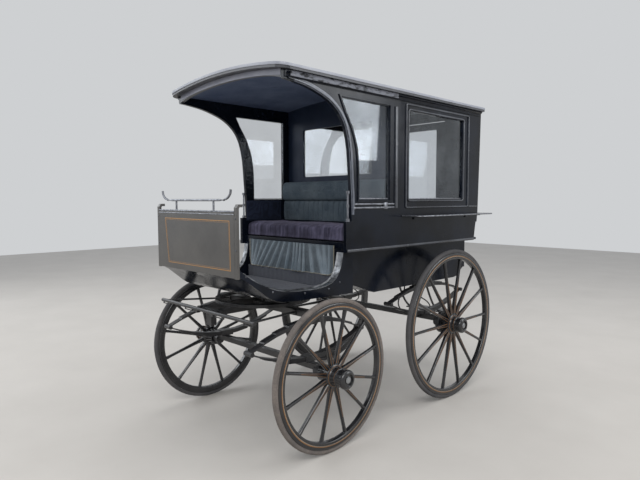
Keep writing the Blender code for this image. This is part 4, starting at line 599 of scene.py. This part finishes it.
def wheel_lining(row):
    """Painted lines on the outer face of the felloe, the nave and the spokes."""
    lines = Shape()
    pale = Shape()
    hand, centre = row["hand"], row["centre"]
    for shape, depth, width in ((lines, 0.0500, 0.0026), (pale, 0.0545, 0.0012)):
        r = row["radius"] - depth
        ring = boxed(hand * (FELLOE_HALF - 0.0006), hand * (FELLOE_HALF + 0.0003), r - width, r + width)
        shape.turned(ring, centre, RIM_STEPS, closed=True)
    out = row["nave"]
    for a, r in ((0.0225, 0.0636), (out - 0.0010, 0.0532), ((BAND_ROOT + out) / 2 - 0.0048, 0.0556)):
        ring = boxed(hand * (a - 0.0012), hand * (a + 0.0012), r - 0.001, r + 0.0009)
        lines.turned(ring, centre, HUB_STEPS, closed=True)
    reach = row["radius"] - TYRE_DEPTH - FELLOE_DEPTH - SPOKE_ROOT
    for way, side in spoke_ways(row):
        for hand_side in (-1, 1):
            rows = []
            for share, proud, over in SPOKE_LINE:
                spot = centre + way * (SPOKE_ROOT + reach * share) + side * hand_side * over * MM
                spot.x += hand * proud * MM
                rows.append([spot + side * wide + Vector((hand * out, 0, 0))
                             for wide, out in boxed(0.0007, -0.0007, -0.0022, 0.0005)])
            lines.skin(rows, caps=True)
    lines.piece("lining_wheel_" + row["name"], "gold_line", row["body"], "black_paint")
    pale.piece("pale_line_wheel_" + row["name"], "pale_line", row["body"], "black_paint")


def wheel_cap(row):
    """Light grey disc in the middle of the hub cap."""
    shape = Shape()
    nose = row["nave"] + NOSE_LENGTH
    shape.turned([(row["hand"] * (nose + a * MM), r * MM) for a, r in CAP_DISC], row["centre"], HUB_STEPS)
    shape.piece("cap_disc_" + row["name"], "cap_metal", row["body"], "worn_steel")


for end_name, end in (("front_", FRONT), ("rear_", REAR)):
    for side_name, side_hand in SIDES:
        name = end_name + side_name
        wheel_row = {"name": name, "body": "wheel_" + name + "_body", "hand": side_hand,
                     "centre": Vector((side_hand * HALF_TRACK, end["y"], end["radius"])), **end}
        for build in (wheel_wood, wheel_tyre, wheel_lining, wheel_cap):
            build(wheel_row)


# Upholstery

def stuffed(name, low, high, look, node, cell, cap):
    """A stuffed cushion: a rounded block blown up as cloth over its held base, its rise capped."""
    shape = Shape()
    inset = (0.006, 0.007, 0.004)
    corners = [a + d for a, d in zip(low, inset)], [b - 2 * d for b, d in zip(high, inset)]
    shape.block(*corners, bevel=0.022, segments=4)
    made = shape.piece(name, look, "body", "velour", (node,), angle=180)
    remesh = made.modifiers.new("cells", "REMESH")
    remesh.mode = "VOXEL"
    remesh.voxel_size = cell
    bake(made)
    start = [vert.co.copy() for vert in made.data.vertices]
    held = made.vertex_groups.new(name="held")
    held.add([i for i, spot in enumerate(start) if spot.z < low[2] + inset[2] + cell], 1.0, "REPLACE")
    blown = made.modifiers.new("blown", "CLOTH")
    blown.settings.quality = 4
    blown.settings.use_pressure = True
    blown.settings.uniform_pressure_force = 4.0
    blown.settings.vertex_group_mass = "held"
    blown.settings.effector_weights.gravity = 0.0
    blown.point_cache.frame_start = 1
    blown.point_cache.frame_end = SIM_FRAMES
    for frame_number in range(1, SIM_FRAMES + 1):
        bpy.context.scene.frame_set(frame_number)
    bake(made)
    bpy.context.scene.frame_set(1)
    for vert, first in zip(made.data.vertices, start):
        move = vert.co - first
        if move.length > cap:
            move *= cap / move.length
        vert.co = first + move + sat_in(first, low, high)
    made.data.materials.clear()
    made.data.materials.append(MATERIALS[look])
    made.data.shade_smooth()
    fine = made.modifiers.new("fine", "SUBSURF")
    fine.levels = fine.render_levels = 1


def bake(made):
    """Write the modifiers' result into the piece's mesh."""
    seen_mesh = bpy.data.meshes.new_from_object(made.evaluated_get(bpy.context.evaluated_depsgraph_get()))
    made.modifiers.clear()
    made.data = seen_mesh


def sat_in(spot, low, high):
    """Shallow hollows where people sit, and a slight unevenness of the stuffing."""
    share = max(0.0, (spot.z - low[2]) / (high[2] - low[2]))
    across = (spot.x - low[0]) / (high[0] - low[0])
    seats = sum(math.exp(-((across - place) / 0.17) ** 2) for place in (0.27, 0.74))
    uneven = noise.noise(spot * 9.0) * 0.0024 + noise.noise(spot * 31.0) * 0.0009
    return Vector((0, 0, share ** 3 * (uneven - 0.006 * seats)))


SIM_FRAMES = 20
CUSHION_LOW = (-0.546, -0.5055, 1.264)
CUSHION_HIGH = (0.546, -0.1035, 1.375)
BENCH_ENDS = (0.1897, 0.5457)
BENCH_LOW = (-0.0099, 1.2226)
BENCH_HIGH = (1.0612, 1.3123)
stuffed("velour_driver_cushion", CUSHION_LOW, CUSHION_HIGH, "velour", "driver_cushion", 0.0095, 0.012)
for side_name, side_hand in SIDES:
    ends = sorted(side_hand * x for x in BENCH_ENDS)
    stuffed("velour_bench_cushion_" + side_name, (ends[0], *BENCH_LOW), (ends[1], *BENCH_HIGH), "velour",
            "bench_cushion_" + side_name, 0.013, 0.010)


def pleats(places, width, x):
    """0 on the open cloth and 1 at the bottom of a pleat."""
    return max(math.exp(-((x - place) / width) ** 2) for place in places)


BACK_HALF = 0.5455
BACK_BOARD = -0.0420
BACK_MIDDLE = 1.52
BACK_FACE = ((-0.0995, 1.3792), (-0.1040, 1.4050), (-0.1070, 1.4500), (-0.1055, 1.4950),
             (-0.1000, 1.5240), (-0.0890, 1.5340))
BACK_ROLL = ((-0.0895, 1.5365), (-0.1090, 1.5450), (-0.1185, 1.5700), (-0.1218, 1.6050),
             (-0.1210, 1.6400), (-0.1130, 1.6680), (-0.0960, 1.6850), (-0.0720, 1.6890), (-0.0500, 1.6860))
ROLL_MIDDLE = Vector((-0.0650, 1.6100))
PLEAT_PITCH = 0.056
PLEAT_WIDTH = 0.0060


def quilted_back():
    """Driver's backrest: upright pleats in the face and a gathered roll along its top."""
    face = curved(BACK_FACE, 5)
    roll = curved(BACK_ROLL, 4)
    section = face + roll + [(BACK_BOARD + 0.001, z) for z in (1.67, 1.60, 1.50, 1.38)]
    places = []
    x = -BACK_HALF + 0.030
    while x < BACK_HALF:
        places.append(x + noise.noise(Vector((x * 7.0, 0.3, 0.0))) * 0.014)
        x += PLEAT_PITCH
    rows = []
    for x in spread(-BACK_HALF, BACK_HALF, 300):
        end = min(1.0, (BACK_HALF - abs(x)) / 0.012)
        end = math.sqrt(max(0.0, 1 - (1 - end) ** 2))
        deep = pleats(places, PLEAT_WIDTH, x)
        row = []
        for k, (y, z) in enumerate(section):
            on_roll = len(face) <= k < len(face) + len(roll)
            soft = noise.noise(Vector((x * 14.0, z * 10.0, 1.0))) * 0.0022
            if k < len(face):
                rise = (z - face[0][1]) / (face[-1][1] - face[0][1])
                groove = deep * (0.0042 + 0.0040 * rise ** 3)
                y += groove * min(1.0, rise * 6) - soft - 0.0015 * (1 - deep)
            elif on_roll:
                groove = deep * 0.0018 * (0.6 + 0.4 * noise.noise(Vector((x * 40.0, k * 0.3, 2.0))))
                away = Vector((y, z)) - ROLL_MIDDLE
                away = away * ((away.length - groove + min(soft, 0.0) * 0.7) / away.length)
                y, z = ROLL_MIDDLE + away
            row.append((x, BACK_BOARD + (y - BACK_BOARD) * (0.55 + 0.45 * end),
                        BACK_MIDDLE + (z - BACK_MIDDLE) * (0.985 + 0.015 * end)))
        rows.append(row)
    made = skinned(rows, "pleated_driver_backrest", "blue_cloth", "body", "cloth", ("driver_backrest",),
                   angle=60)


FALL_HALF = 0.456
FALL_TOP = 1.2422
FALL_DROP = 0.200
FALL_CORNER = 0.050
FALL_FACE = -0.5262
FALL_THICK = 0.0024
FALL_FOLDS = ((66, 7, 24, 10), (98, 6.5, 28, 10), (132, 6.5, 28, 10), (166, 7, 23, 0), (225, 16, 10, -30),
              (300, 22, 12, -60), (360, 16, 11, -30), (20, 12, 15, 50), (-35, 11, 17, 90), (-90, 12, 18, 120),
              (-150, 13, 18, 140), (-215, 13, 16, 130), (-285, 12, 15, 100), (-350, 11, 13, 60),
              (-410, 10, 12, 20), (415, 10, 9, 0))


def fall_front(x, down):
    """How far the hanging cloth stands off its flat line; down is 0 at the seat and 1 at the hem."""
    stand = 0.0
    for place, width, depth, lean in FALL_FOLDS:
        stand += depth * MM * (0.25 + 0.75 * down) * math.exp(-((x / MM - place + lean * down) / width) ** 2)
    return stand + 0.0016 * noise.noise(Vector((x * 18.0, down * 3.0, 5.0)))


def fall_spot(x, z):
    """A point of the cloth's face."""
    return x, FALL_FACE - fall_front(x, (FALL_TOP - z) / FALL_DROP), z


def fall_low(x):
    """Height of the hem, with its rounded corners."""
    over = max(0.0, abs(x) - (FALL_HALF - FALL_CORNER))
    return FALL_TOP - FALL_DROP + FALL_CORNER - math.sqrt(max(0.0, FALL_CORNER ** 2 - over ** 2))


def seat_fall():
    """Cloth hung below the front of the driver's seat, in folds, with a light piping on its edge."""
    down_steps = 26
    rows = []
    hem = []
    for x in spread(-FALL_HALF, FALL_HALF, 420):
        front = [fall_spot(x, z) for z in spread(FALL_TOP, fall_low(x), down_steps)]
        rows.append(front + [(x, y + FALL_THICK, z) for _, y, z in front[::-1]])
        hem.append((x, front[-1][1] + FALL_THICK / 2, front[-1][2]))
    cloth_piece = skinned(rows, "hung_seat_fall", "fall_cloth", "body", "cloth", ("seat_fall",), angle=70)
    edge = Shape()
    sides = [FALL_TOP - 0.012 * k for k in range(int((FALL_DROP - FALL_CORNER) / 0.012))]
    left = [fall_spot(-FALL_HALF, z) for z in sides]
    right = [fall_spot(FALL_HALF, z) for z in sides[::-1]]
    edge.tube(left + hem[::3] + right, 0.0036, 8)
    piping = edge.piece("seat_fall_piping", "piping", "body", "cloth")


CARPET_LINE = ((-0.5280, 0.9550), (-0.8395, 0.9550), (-0.9092, 0.9564), (-0.9894, 0.9610), (-1.0373, 0.9715),
               (-1.0745, 0.9871), (-1.1072, 1.0078), (-1.1393, 1.0331), (-1.1797, 1.0644), (-1.2190, 1.0944))
CARPET_REAR = 0.4730
CARPET_FRONT = 0.4077
CARPET_THICK = 0.0066
RIB_PITCH = 0.0152


def laid_carpet():
    """Worn ribbed carpet on the driver's floor and up the toe board."""
    line = curved(CARPET_LINE, 9)
    rows = []
    for k, (y, z) in enumerate(line):
        share = (line[0][0] - y) / (line[0][0] - line[-1][0])
        half = CARPET_REAR + (CARPET_FRONT - CARPET_REAR) * share
        row = []
        for x in spread(-half, half, 250):
            rib = 0.0007 * math.cos(x * 2 * math.pi / RIB_PITCH)
            worn = waves(x, y, 0, 5, 0.0012) + waves(x, y, 0, 90, 0.0005)
            edge = min(1.0, (half - abs(x)) / 0.010)
            row.append((x, y, z + (rib + worn) * edge - 0.0022 * (1 - edge)))
        row += [(half, y, z - CARPET_THICK), (-half, y, z - CARPET_THICK)]
        rows.append(row)
    made = skinned(rows, "laid_carpet", "ribbed_carpet", "body", "carpet", ("floor_carpet",), angle=50)


ROOF_EDGE_HALF = 0.620
ROOF_LOW = 2.304
ROOF_RISE = 0.052


def roof_crown(x):
    """Height of the roof's top above the ground, by the distance from the middle."""
    return ROOF_LOW + ROOF_RISE * (1 - (x / ROOF_EDGE_HALF) ** 2)


LINING_HALF = 0.5455
LINING_BELOW = 0.0403
LINING_ENDS = (-1.0248, -0.0402)
LINING_THICK = 0.0040


def roof_cloth():
    """Lining cloth stretched under the driver's roof, drawn up a little between three roof bows."""
    run = LINING_ENDS[1] - LINING_ENDS[0]
    faces = []
    for y in spread(*LINING_ENDS, 80):
        bow = abs(math.sin(math.pi * 4 * (y - LINING_ENDS[0]) / run))
        faces.append([(x, y, roof_crown(x) - LINING_BELOW + 0.0030 * bow * (1 - (x / LINING_HALF) ** 4)
                       + waves(x, y, 7, 8, 0.0008)) for x in spread(-LINING_HALF, LINING_HALF, 60)])
    rows = [under + [(x, y, z + LINING_THICK) for x, y, z in under[::-1]] for under in faces]
    made = skinned(rows, "stretched_roof_lining", "lining_cloth", "body", "lining", ("roof_lining",),
                   angle=60)


RISER_LOW = 0.9570
RISER_TOP = 1.0405
RISER_FACE = -0.5312
TRIM_BACK = 0.5497


def riser_carpet():
    """The same carpet on the upright board below the driver's seat."""
    rows = []
    for x in spread(-CARPET_REAR, CARPET_REAR, 200):
        rib = 0.0006 * math.cos(x * 2 * math.pi / RIB_PITCH)
        front = [(x, RISER_FACE - rib + waves(x, z, 3, 9, 0.0008), z)
                 for z in spread(RISER_LOW, RISER_TOP, 12)]
        rows.append(front + [(x, RISER_FACE + 0.0032, RISER_TOP), (x, RISER_FACE + 0.0032, RISER_LOW)])
    made = skinned(rows, "riser_carpet", "ribbed_carpet", "body", "carpet", angle=50)


def side_trim(side, hand):
    """Dark blue cloth panel inside the driver's side, below the quarter window."""
    rows = []
    ends = (-0.4880, -0.1280)
    heights = (1.3800, 1.5380)
    for y in spread(*ends, 60):
        face = []
        for z in spread(*heights, 24):
            edge = min(1.0, min(y - ends[0], ends[1] - y, z - heights[0], heights[1] - z) / 0.010)
            pad = 0.0016 + 0.0034 * math.sqrt(max(0.0, 1 - (1 - edge) ** 2))
            face.append((hand * (TRIM_BACK - pad + waves(y, z, hand, 12, 0.0008)), y, z))
        rows.append(face + [(hand * TRIM_BACK, y, heights[1]), (hand * TRIM_BACK, y, heights[0])])
    skinned(rows, "side_trim_" + side, "trim_cloth", "body", "cloth", angle=60)


riser_carpet()
for side_name, side_hand in SIDES:
    side_trim(side_name, side_hand)
quilted_back()
seat_fall()
laid_carpet()
roof_cloth()


# Brake hoses and cables

LINE_X = 0.3965
LINE_TOP = 0.8837
LINE_FOOT = 0.6000
LINE_RADIUS = 0.005
LINE_FERRULE = 0.012
LINE_ROOM = 0.280
LINES = (
    {"name": "brake_hose_", "y": 0.5402, "reach": -LINE_ROOM, "shares": (
        (0.70, 1.0), (0.73, 0.84), (0.92, 0.68), (0.98, 0.52), (0.90, 0.36), (0.72, 0.21), (0.44, 0.09),
        (0.20, 0.02), (0.0, 0.0))},
    {"name": "brake_cable_", "y": 0.5828, "reach": LINE_ROOM, "shares": (
        (-0.56, 1.0), (-0.54, 0.85), (-0.36, 0.66), (-0.05, 0.50), (0.19, 0.36), (0.33, 0.20), (0.29, 0.06),
        (0.14, 0.01), (0.0, 0.0))},
)


def brake_line(side, hand, row):
    """A slack rubber line from the body's floor to the rear axle, with a ferrule at each end."""
    near = row["y"] + math.copysign(LINE_FERRULE, row["reach"])
    x = hand * LINE_X
    rise = LINE_TOP - LINE_FERRULE - LINE_FOOT
    bend = softened([(x, near + row["reach"] * u, LINE_FOOT + rise * v) for u, v in row["shares"]], 6)
    path = [Vector((x, bend[0].y, LINE_TOP))] + bend + [Vector((x, row["y"], LINE_FOOT))]
    shape = Shape()
    shape.tube(path, LINE_RADIUS, 12)
    node = row["name"] + side
    made = shape.piece("slack_" + node, "black_rubber", "body", "black_rubber", (node,))
    ends = Shape()
    ends.tube([path[0], path[0] - Vector((0, 0, 0.0115))], 0.0066, 12)
    ends.tube([path[-1], path[-1] + Vector((0, math.copysign(0.0115, row["reach"]), 0))], 0.0066, 12)
    ferrules = ends.piece("ferrules_" + node, "bolt_metal", "body", "worn_steel")


for side_name, side_hand in SIDES:
    for line_row in LINES:
        brake_line(side_name, side_hand, line_row)


# Mouldings, lines and fittings

FACE_X = 0.575


MOULDING_FOOT = 0.001


def bar_section(width, rise):
    """Section of a moulding with straight sides and a round top."""
    half = [(0.50, 0.50), (0.47, 0.74), (0.38, 0.90), (0.22, 0.98), (0.0, 1.0)]
    right = [(width * a, rise * b) for a, b in half]
    left = [(-a, b) for a, b in right[-2::-1]]
    return [(width / 2, -MOULDING_FOOT)] + right + left + [(-width / 2, -MOULDING_FOOT)]


def rounded_loop(low, high, radius, steps=5):
    """Points round a rectangle with rounded corners, as (along, up)."""
    points = []
    for cx, cz, start in ((high[0] - radius, high[1] - radius, 0), (low[0] + radius, high[1] - radius, 90),
                          (low[0] + radius, low[1] + radius, 180), (high[0] - radius, low[1] + radius, 270)):
        for k in range(steps + 1):
            turn = math.radians(start + 90 * k / steps)
            points.append((cx + radius * math.cos(turn), cz + radius * math.sin(turn)))
    return points


PILLAR_FOOT = (-0.4795, 1.402)
PILLAR_CROWN = (-1.0495, 2.2287)
PILLAR_SHARES = ((0.0, 0.0), (0.007, 0.167), (0.026, 0.361), (0.049, 0.555), (0.105, 0.712), (0.202, 0.818),
                 (0.351, 0.896), (0.526, 0.944), (0.719, 0.978), (0.947, 0.998))


def pillar_line(behind):
    """The curved front edge of the driver's hood, moved back into the body by a distance."""
    run = PILLAR_CROWN[0] - PILLAR_FOOT[0]
    rise = PILLAR_CROWN[1] - PILLAR_FOOT[1]
    line = curved([(PILLAR_FOOT[0] + run * a, PILLAR_FOOT[1] + rise * b) for a, b in PILLAR_SHARES], 5)
    moved = []
    for before, (y, z), after in zip(line[:1] + line, line, line[1:] + line[-1:]):
        way = (Vector(after) - Vector(before)).normalized()
        moved.append((y + way.y * behind, z - way.x * behind))
    return moved


WAIST = 1.213
BEAD = (0.0126, 0.0090)
SIDE_LOOPS = (((0.1175, 1.535), (0.8675, 2.187), 0.023), ((0.0935, 1.486), (0.9395, 2.222), 0.012))
SIDE_LINES = (((-0.5275, WAIST), (1.0535, WAIST), (0.0186, 0.0090)),
              ((0.9495, 1.486), (1.0955, 1.486), BEAD),
              ((-0.0205, 1.484), (-0.0205, 2.188), (0.0306, 0.0092)))
HOOD_BEADS = ((0.011, 2, BEAD), (0.0245, 3, (0.0120, 0.0022)), (0.0022, 2, (0.0040, 0.0030)))
SILL_ENDS = ((-0.4040, -0.1050), (0.1340, 0.8500))
SILL_HEIGHTS = (1.5467, 1.5545)
RAIL_ENDS = (-0.4675, -0.0475)
RAIL_HEIGHTS = (1.514, 1.490)


def side_mouldings(side, hand):
    """Round-topped mouldings over the side panel's beads."""
    shape = Shape()
    bright = Shape()
    x = hand * FACE_X
    face = (hand, 0, 0)
    bead = bar_section(*BEAD)

    def across(points):
        return [(x, along, up) for along, up in points]

    for loop in SIDE_LOOPS:
        shape.swept(across(rounded_loop(*loop)), face, bead, closed=True)
    for start, end, section in SIDE_LINES:
        shape.swept(across([start, end]), face, bar_section(*section))
    # The pillar beads take the pale pillar paint, a painted sky reflection.
    pillar = Shape()
    for behind, left_out, section in HOOD_BEADS:
        pillar.swept(across(pillar_line(behind)[left_out:-left_out]), face, bar_section(*section))
    pillar.piece("hood_pillar_beads_" + side, "pillar_paint", "body", "black_paint", angle=50)
    sills = Shape()
    for ends in SILL_ENDS:
        sills.slab((x - hand * 0.0090, x - hand * 0.0015), ends, SILL_HEIGHTS, bevel=0.0015)
    sills.piece("window_sills_" + side, "edge_metal", "body", "worn_steel")
    cornice = Shape()
    cornice.slab((hand * 0.5990, hand * 0.6024), (-1.0200, -0.0300), (2.2420, 2.2740), bevel=0.001)
    cornice.piece("flaked_cornice_" + side, "flaked_paint", "body", "black_paint")
    for up in RAIL_HEIGHTS:
        bright.swept(across([(along, up) for along in RAIL_ENDS]), face, bead)
    bright.slab((x + hand * 0.0005, x + hand * 0.0100), (-0.1570, -0.1220), (1.4795, 1.5255), bevel=0.0015)
    shape.piece("mouldings_" + side, "moulding_paint", "body", "black_paint", angle=50)
    bright.piece("belt_rails_" + side, "edge_metal", "body", "worn_steel", angle=50)


DOOR_FACE_Y = 1.0965
REAR_FACE_Y = 1.0905
DOOR_LOOPS = (((-0.188, 1.540), (0.188, 2.171), 0.018), ((-0.188, 1.000), (0.188, 1.452), 0.012))
WAIST_ENDS = (0.2740, 0.5735)


def rear_mouldings():
    """Beads round the rear door's glass and lower panel, and the waist moulding carried round the back."""
    face = (0, 1, 0)
    bead = bar_section(0.0126, 0.0072)
    leaf = Shape()
    for loop in DOOR_LOOPS:
        leaf.swept([(x, DOOR_FACE_Y, z) for x, z in rounded_loop(*loop)], face, bead, closed=True)
    leaf.piece("door_beads", "moulding_paint", "door", "black_paint", angle=50)
    waist = Shape()
    for hand in (1, -1):
        waist.swept([(hand * x, REAR_FACE_Y, WAIST) for x in WAIST_ENDS], face, bar_section(0.0186, 0.0072))
    waist.piece("rear_waist_moulding", "moulding_paint", "body", "black_paint", angle=50)


ROOF_EDGE_ENDS = (-1.0995, 1.1625)
ROOF_EDGE_CORNER = 0.060
STRIP_SECTION = ((-16, 0.8), (-16, -1), (0.6, -2), (0.6, -15), (3.2, -15.5), (4, -12), (4, -1), (3, 1.4),
                 (1, 1.8), (-10, 1.6))


def roof_edge():
    """Light metal strip folded over the edge of the roof."""
    rear_corner = (ROOF_EDGE_HALF, ROOF_EDGE_ENDS[1])
    plan = rounded_loop((-ROOF_EDGE_HALF, ROOF_EDGE_ENDS[0]), rear_corner, ROOF_EDGE_CORNER, 10)
    line = []
    for i, (x, y) in enumerate(plan):
        bx, by = plan[i - 1]
        steps = max(1, round(math.dist((x, y), (bx, by)) / 0.06))
        line += [(bx + (x - bx) * k / steps, by + (y - by) * k / steps) for k in range(steps)]
    rows = []
    for i, (x, y) in enumerate(line):
        ax, ay = line[(i + 1) % len(line)]
        bx, by = line[i - 1]
        out = Vector((ay - by, bx - ax, 0)).normalized()
        here = Vector((x, y, roof_crown(x)))
        rows.append([here + out * a * MM + Vector((0, 0, b * MM)) for a, b in STRIP_SECTION])
    shape = Shape()
    shape.skin(rows, closed_rows=True)
    shape.piece("roof_edge_strip", "strip_paint", "body", "worn_steel", angle=40)


VALANCE_HALF = 0.5490
VALANCE_FACES = (-1.0494, -1.0506)
VALANCE_BELOW = 0.0312
VALANCE_DEPTH = 0.0330


def valance():
    """Greyed board under the front edge of the roof."""
    back, front = VALANCE_FACES
    rows = []
    for x in spread(-VALANCE_HALF, VALANCE_HALF, 60):
        top = roof_crown(x) - VALANCE_BELOW
        foot = top - VALANCE_DEPTH
        rows.append([(x, back, top), (x, front, top), (x, front, foot), (x, back, foot)])
    skinned(rows, "valance_face", "board_paint", "body", "black_paint", angle=40)


DASH_FACE = -1.3005
DASH_BEAD_HALF = 0.432
DASH_BEADS = ((-1.2965, 1.4785, 0.0052, 10), (-1.3000, 1.4625, 0.0030, 8))
DASH_LINE = ((-0.350, 1.427), (0.384, 1.425), (0.392, 1.141), (-0.312, 1.138))


def dash_lines():
    """Gold line and fine inner line on the dash, and its worn bright top edge."""
    gold = Shape()
    face = (0, -1, 0)
    for inset, half in ((0.0, 0.0024), (0.0085, 0.0008)):
        middle = (sum(a for a, b in DASH_LINE) / 4, sum(b for a, b in DASH_LINE) / 4)
        loop = [(a - math.copysign(inset, a - middle[0]), DASH_FACE, b - math.copysign(inset, b - middle[1]))
                for a, b in DASH_LINE]
        flat = [(half, -0.0004), (half, 0.0003), (-half, 0.0003), (-half, -0.0004)]
        gold.swept(loop, face, flat, closed=True)
    gold.piece("dash_gold_line", "dash_gold", "body", "black_paint")
    bright = Shape()
    for y, z, radius, sides in DASH_BEADS:
        bright.tube([(-DASH_BEAD_HALF, y, z), (DASH_BEAD_HALF, y, z)], radius, sides)
    bright.piece("dash_top_beading", "edge_metal", "body", "worn_steel")


GUARD_ENDS = (0.0505, 1.0720)
GUARD_IN = 0.579
GUARD_OUT = 0.745
GUARD_TOP = 1.427
GUARD_CORNER = 0.045


def guard_edge(side, hand):
    """Bright iron edge round the board above the rear wheel."""
    front, back = GUARD_ENDS
    plan = rounded_loop((0.5, front), (GUARD_OUT, back), GUARD_CORNER, 6)
    path = [(hand * x, y, GUARD_TOP) for x, y in plan if x > GUARD_IN]
    path.sort(key=lambda spot: math.atan2(spot[1] - (front + back) / 2, hand * spot[0] - GUARD_IN))
    path = [(hand * GUARD_IN, front, GUARD_TOP)] + path + [(hand * GUARD_IN, back, GUARD_TOP)]
    shape = Shape()
    shape.tube(path, 0.0052, 8)
    shape.piece("guard_edge_" + side, "edge_metal", "body", "worn_steel")


def skin_of(node):
    """A search tree of a CAD node's surface."""
    mesh = NODES[node].data
    faces = [list(face.vertices) for face in mesh.polygons]
    return BVHTree.FromPolygons([vert.co for vert in mesh.vertices], faces)


FOOT_BOLTS = ((-1.243, 1.108), (-1.167, 1.072), (-1.063, 1.000), (-0.830, 0.968), (-0.640, 0.975),
              (-0.550, 1.010), (-1.150, 1.010))
DASH_BOLT_X = 0.4435
DASH_BOLT_HEIGHTS = (1.439, 1.259)


def bolts():
    """Round bolt heads on the driver's footwell and the dash irons."""
    shape = Shape()
    foot = skin_of("driver_footwell")
    dash = skin_of("dashboard")
    for hand in (1, -1):
        for y, z in FOOT_BOLTS:
            spot = foot.ray_cast(Vector((hand, y, z)), Vector((-hand, 0, 0)))[0]
            if spot:
                shape.dome(spot, "X", 0.0068, hand * 0.0042, 10)
        for z in DASH_BOLT_HEIGHTS:
            spot = dash.ray_cast(Vector((hand * DASH_BOLT_X, -2, z)), Vector((0, 1, 0)))[0]
            if spot:
                shape.dome(spot, "Y", 0.0062, -0.0034, 10)
    shape.piece("bolt_heads", "bolt_metal", "body", "worn_steel", angle=60)


for side_name, side_hand in SIDES:
    side_mouldings(side_name, side_hand)
    guard_edge(side_name, side_hand)
rear_mouldings()
roof_edge()
valance()
dash_lines()
bolts()


# Stage, light and camera

LENS = 30.09
CAMERA_PLACE = (2.912, -3.0466, 1.547)
CAMERA_YAW = 45.72
CAMERA_PITCH = -4.351
CAMERA_ROLL = -0.148
FLOOR_HALF = 14.0


def camera():
    """The photograph's view, with the lens and place fitted to it."""
    data = bpy.data.cameras.new("camera")
    data.lens = LENS
    data.sensor_width = 36.0
    data.dof.use_dof = False
    made = added("camera", data)
    made.location = CAMERA_PLACE
    turn = (Matrix.Rotation(math.radians(CAMERA_YAW), 4, "Z")
            @ Matrix.Rotation(math.radians(90 + CAMERA_PITCH), 4, "X")
            @ Matrix.Rotation(math.radians(CAMERA_ROLL), 4, "Z"))
    made.rotation_mode = "QUATERNION"
    made.rotation_quaternion = turn.to_quaternion()
    bpy.context.scene.camera = made


def floor():
    """Plain pale concrete floor."""
    mesh = bpy.data.meshes.new("floor")
    corners = [(-FLOOR_HALF, -FLOOR_HALF, 0), (FLOOR_HALF, -FLOOR_HALF, 0), (FLOOR_HALF, FLOOR_HALF, 0),
               (-FLOOR_HALF, FLOOR_HALF, 0)]
    mesh.from_pydata(corners, [], [(0, 1, 2, 3)])
    made = added("floor", mesh)
    look = Look("floor", rough=0.85, specular=0.3)
    look.drive("base", look.mixed(look.noise(1.4, 5.0, 0.6), seen(186, 180, 172), seen(202, 196, 188)))
    mesh.materials.append(look.material)


def lamp(name, place, aim, size, power, tint=(1.0, 1.0, 1.0)):
    """A soft rectangular light, aimed at a point."""
    data = bpy.data.lights.new(name, "AREA")
    data.shape = "RECTANGLE"
    data.size, data.size_y = size
    data.energy = power
    data.color = tint
    made = added(name, data)
    made.location = place
    made.rotation_mode = "QUATERNION"
    made.rotation_quaternion = (Vector(aim) - Vector(place)).to_track_quat("-Z", "Y")


def world():
    """A pale studio: the same grey to the camera and in reflections, softer as light."""
    made = bpy.data.worlds.new("studio")
    bpy.context.scene.world = made
    made.use_nodes = True
    tree = made.node_tree
    tree.nodes.clear()
    link = tree.links.new

    def background(colour, strength):
        node = tree.nodes.new("ShaderNodeBackground")
        node.inputs["Color"].default_value = colour
        node.inputs["Strength"].default_value = strength
        return node.outputs[0]

    def either(first, second):
        node = tree.nodes.new("ShaderNodeMath")
        node.operation = "MAXIMUM"
        link(first, node.inputs[0])
        link(second, node.inputs[1])
        return node.outputs[0]

    ray = tree.nodes.new("ShaderNodeLightPath").outputs
    mix = tree.nodes.new("ShaderNodeMixShader")
    out = tree.nodes.new("ShaderNodeOutputWorld")
    plain = either(ray["Is Camera Ray"], ray["Is Glossy Ray"])
    link(either(plain, ray["Is Transmission Ray"]), mix.inputs["Fac"])
    link(background(seen(225, 232, 242), 0.75), mix.inputs[1])
    link(background(seen(206, 208, 210), 1.0), mix.inputs[2])
    link(mix.outputs[0], out.inputs["Surface"])


camera()
floor()
world()
lamp("key", (5.0, -6.0, 6.5), (0.0, 0.0, 1.0), (6.0, 4.0), 380.0)
lamp("fill", (-6.0, -4.0, 4.0), (0.0, 0.0, 1.2), (5.0, 4.0), 170.0, (0.92, 0.96, 1.0))
lamp("top", (0.0, 1.0, 8.0), (0.0, 0.0, 0.0), (7.0, 7.0), 200.0)
lamp("sky_side", (6.4, 4.5, 4.4), (0.6, -0.5, 2.0), (3.2, 4.2), 170.0, (0.94, 0.97, 1.0))

scene = bpy.context.scene
scene.view_settings.view_transform = "Standard"
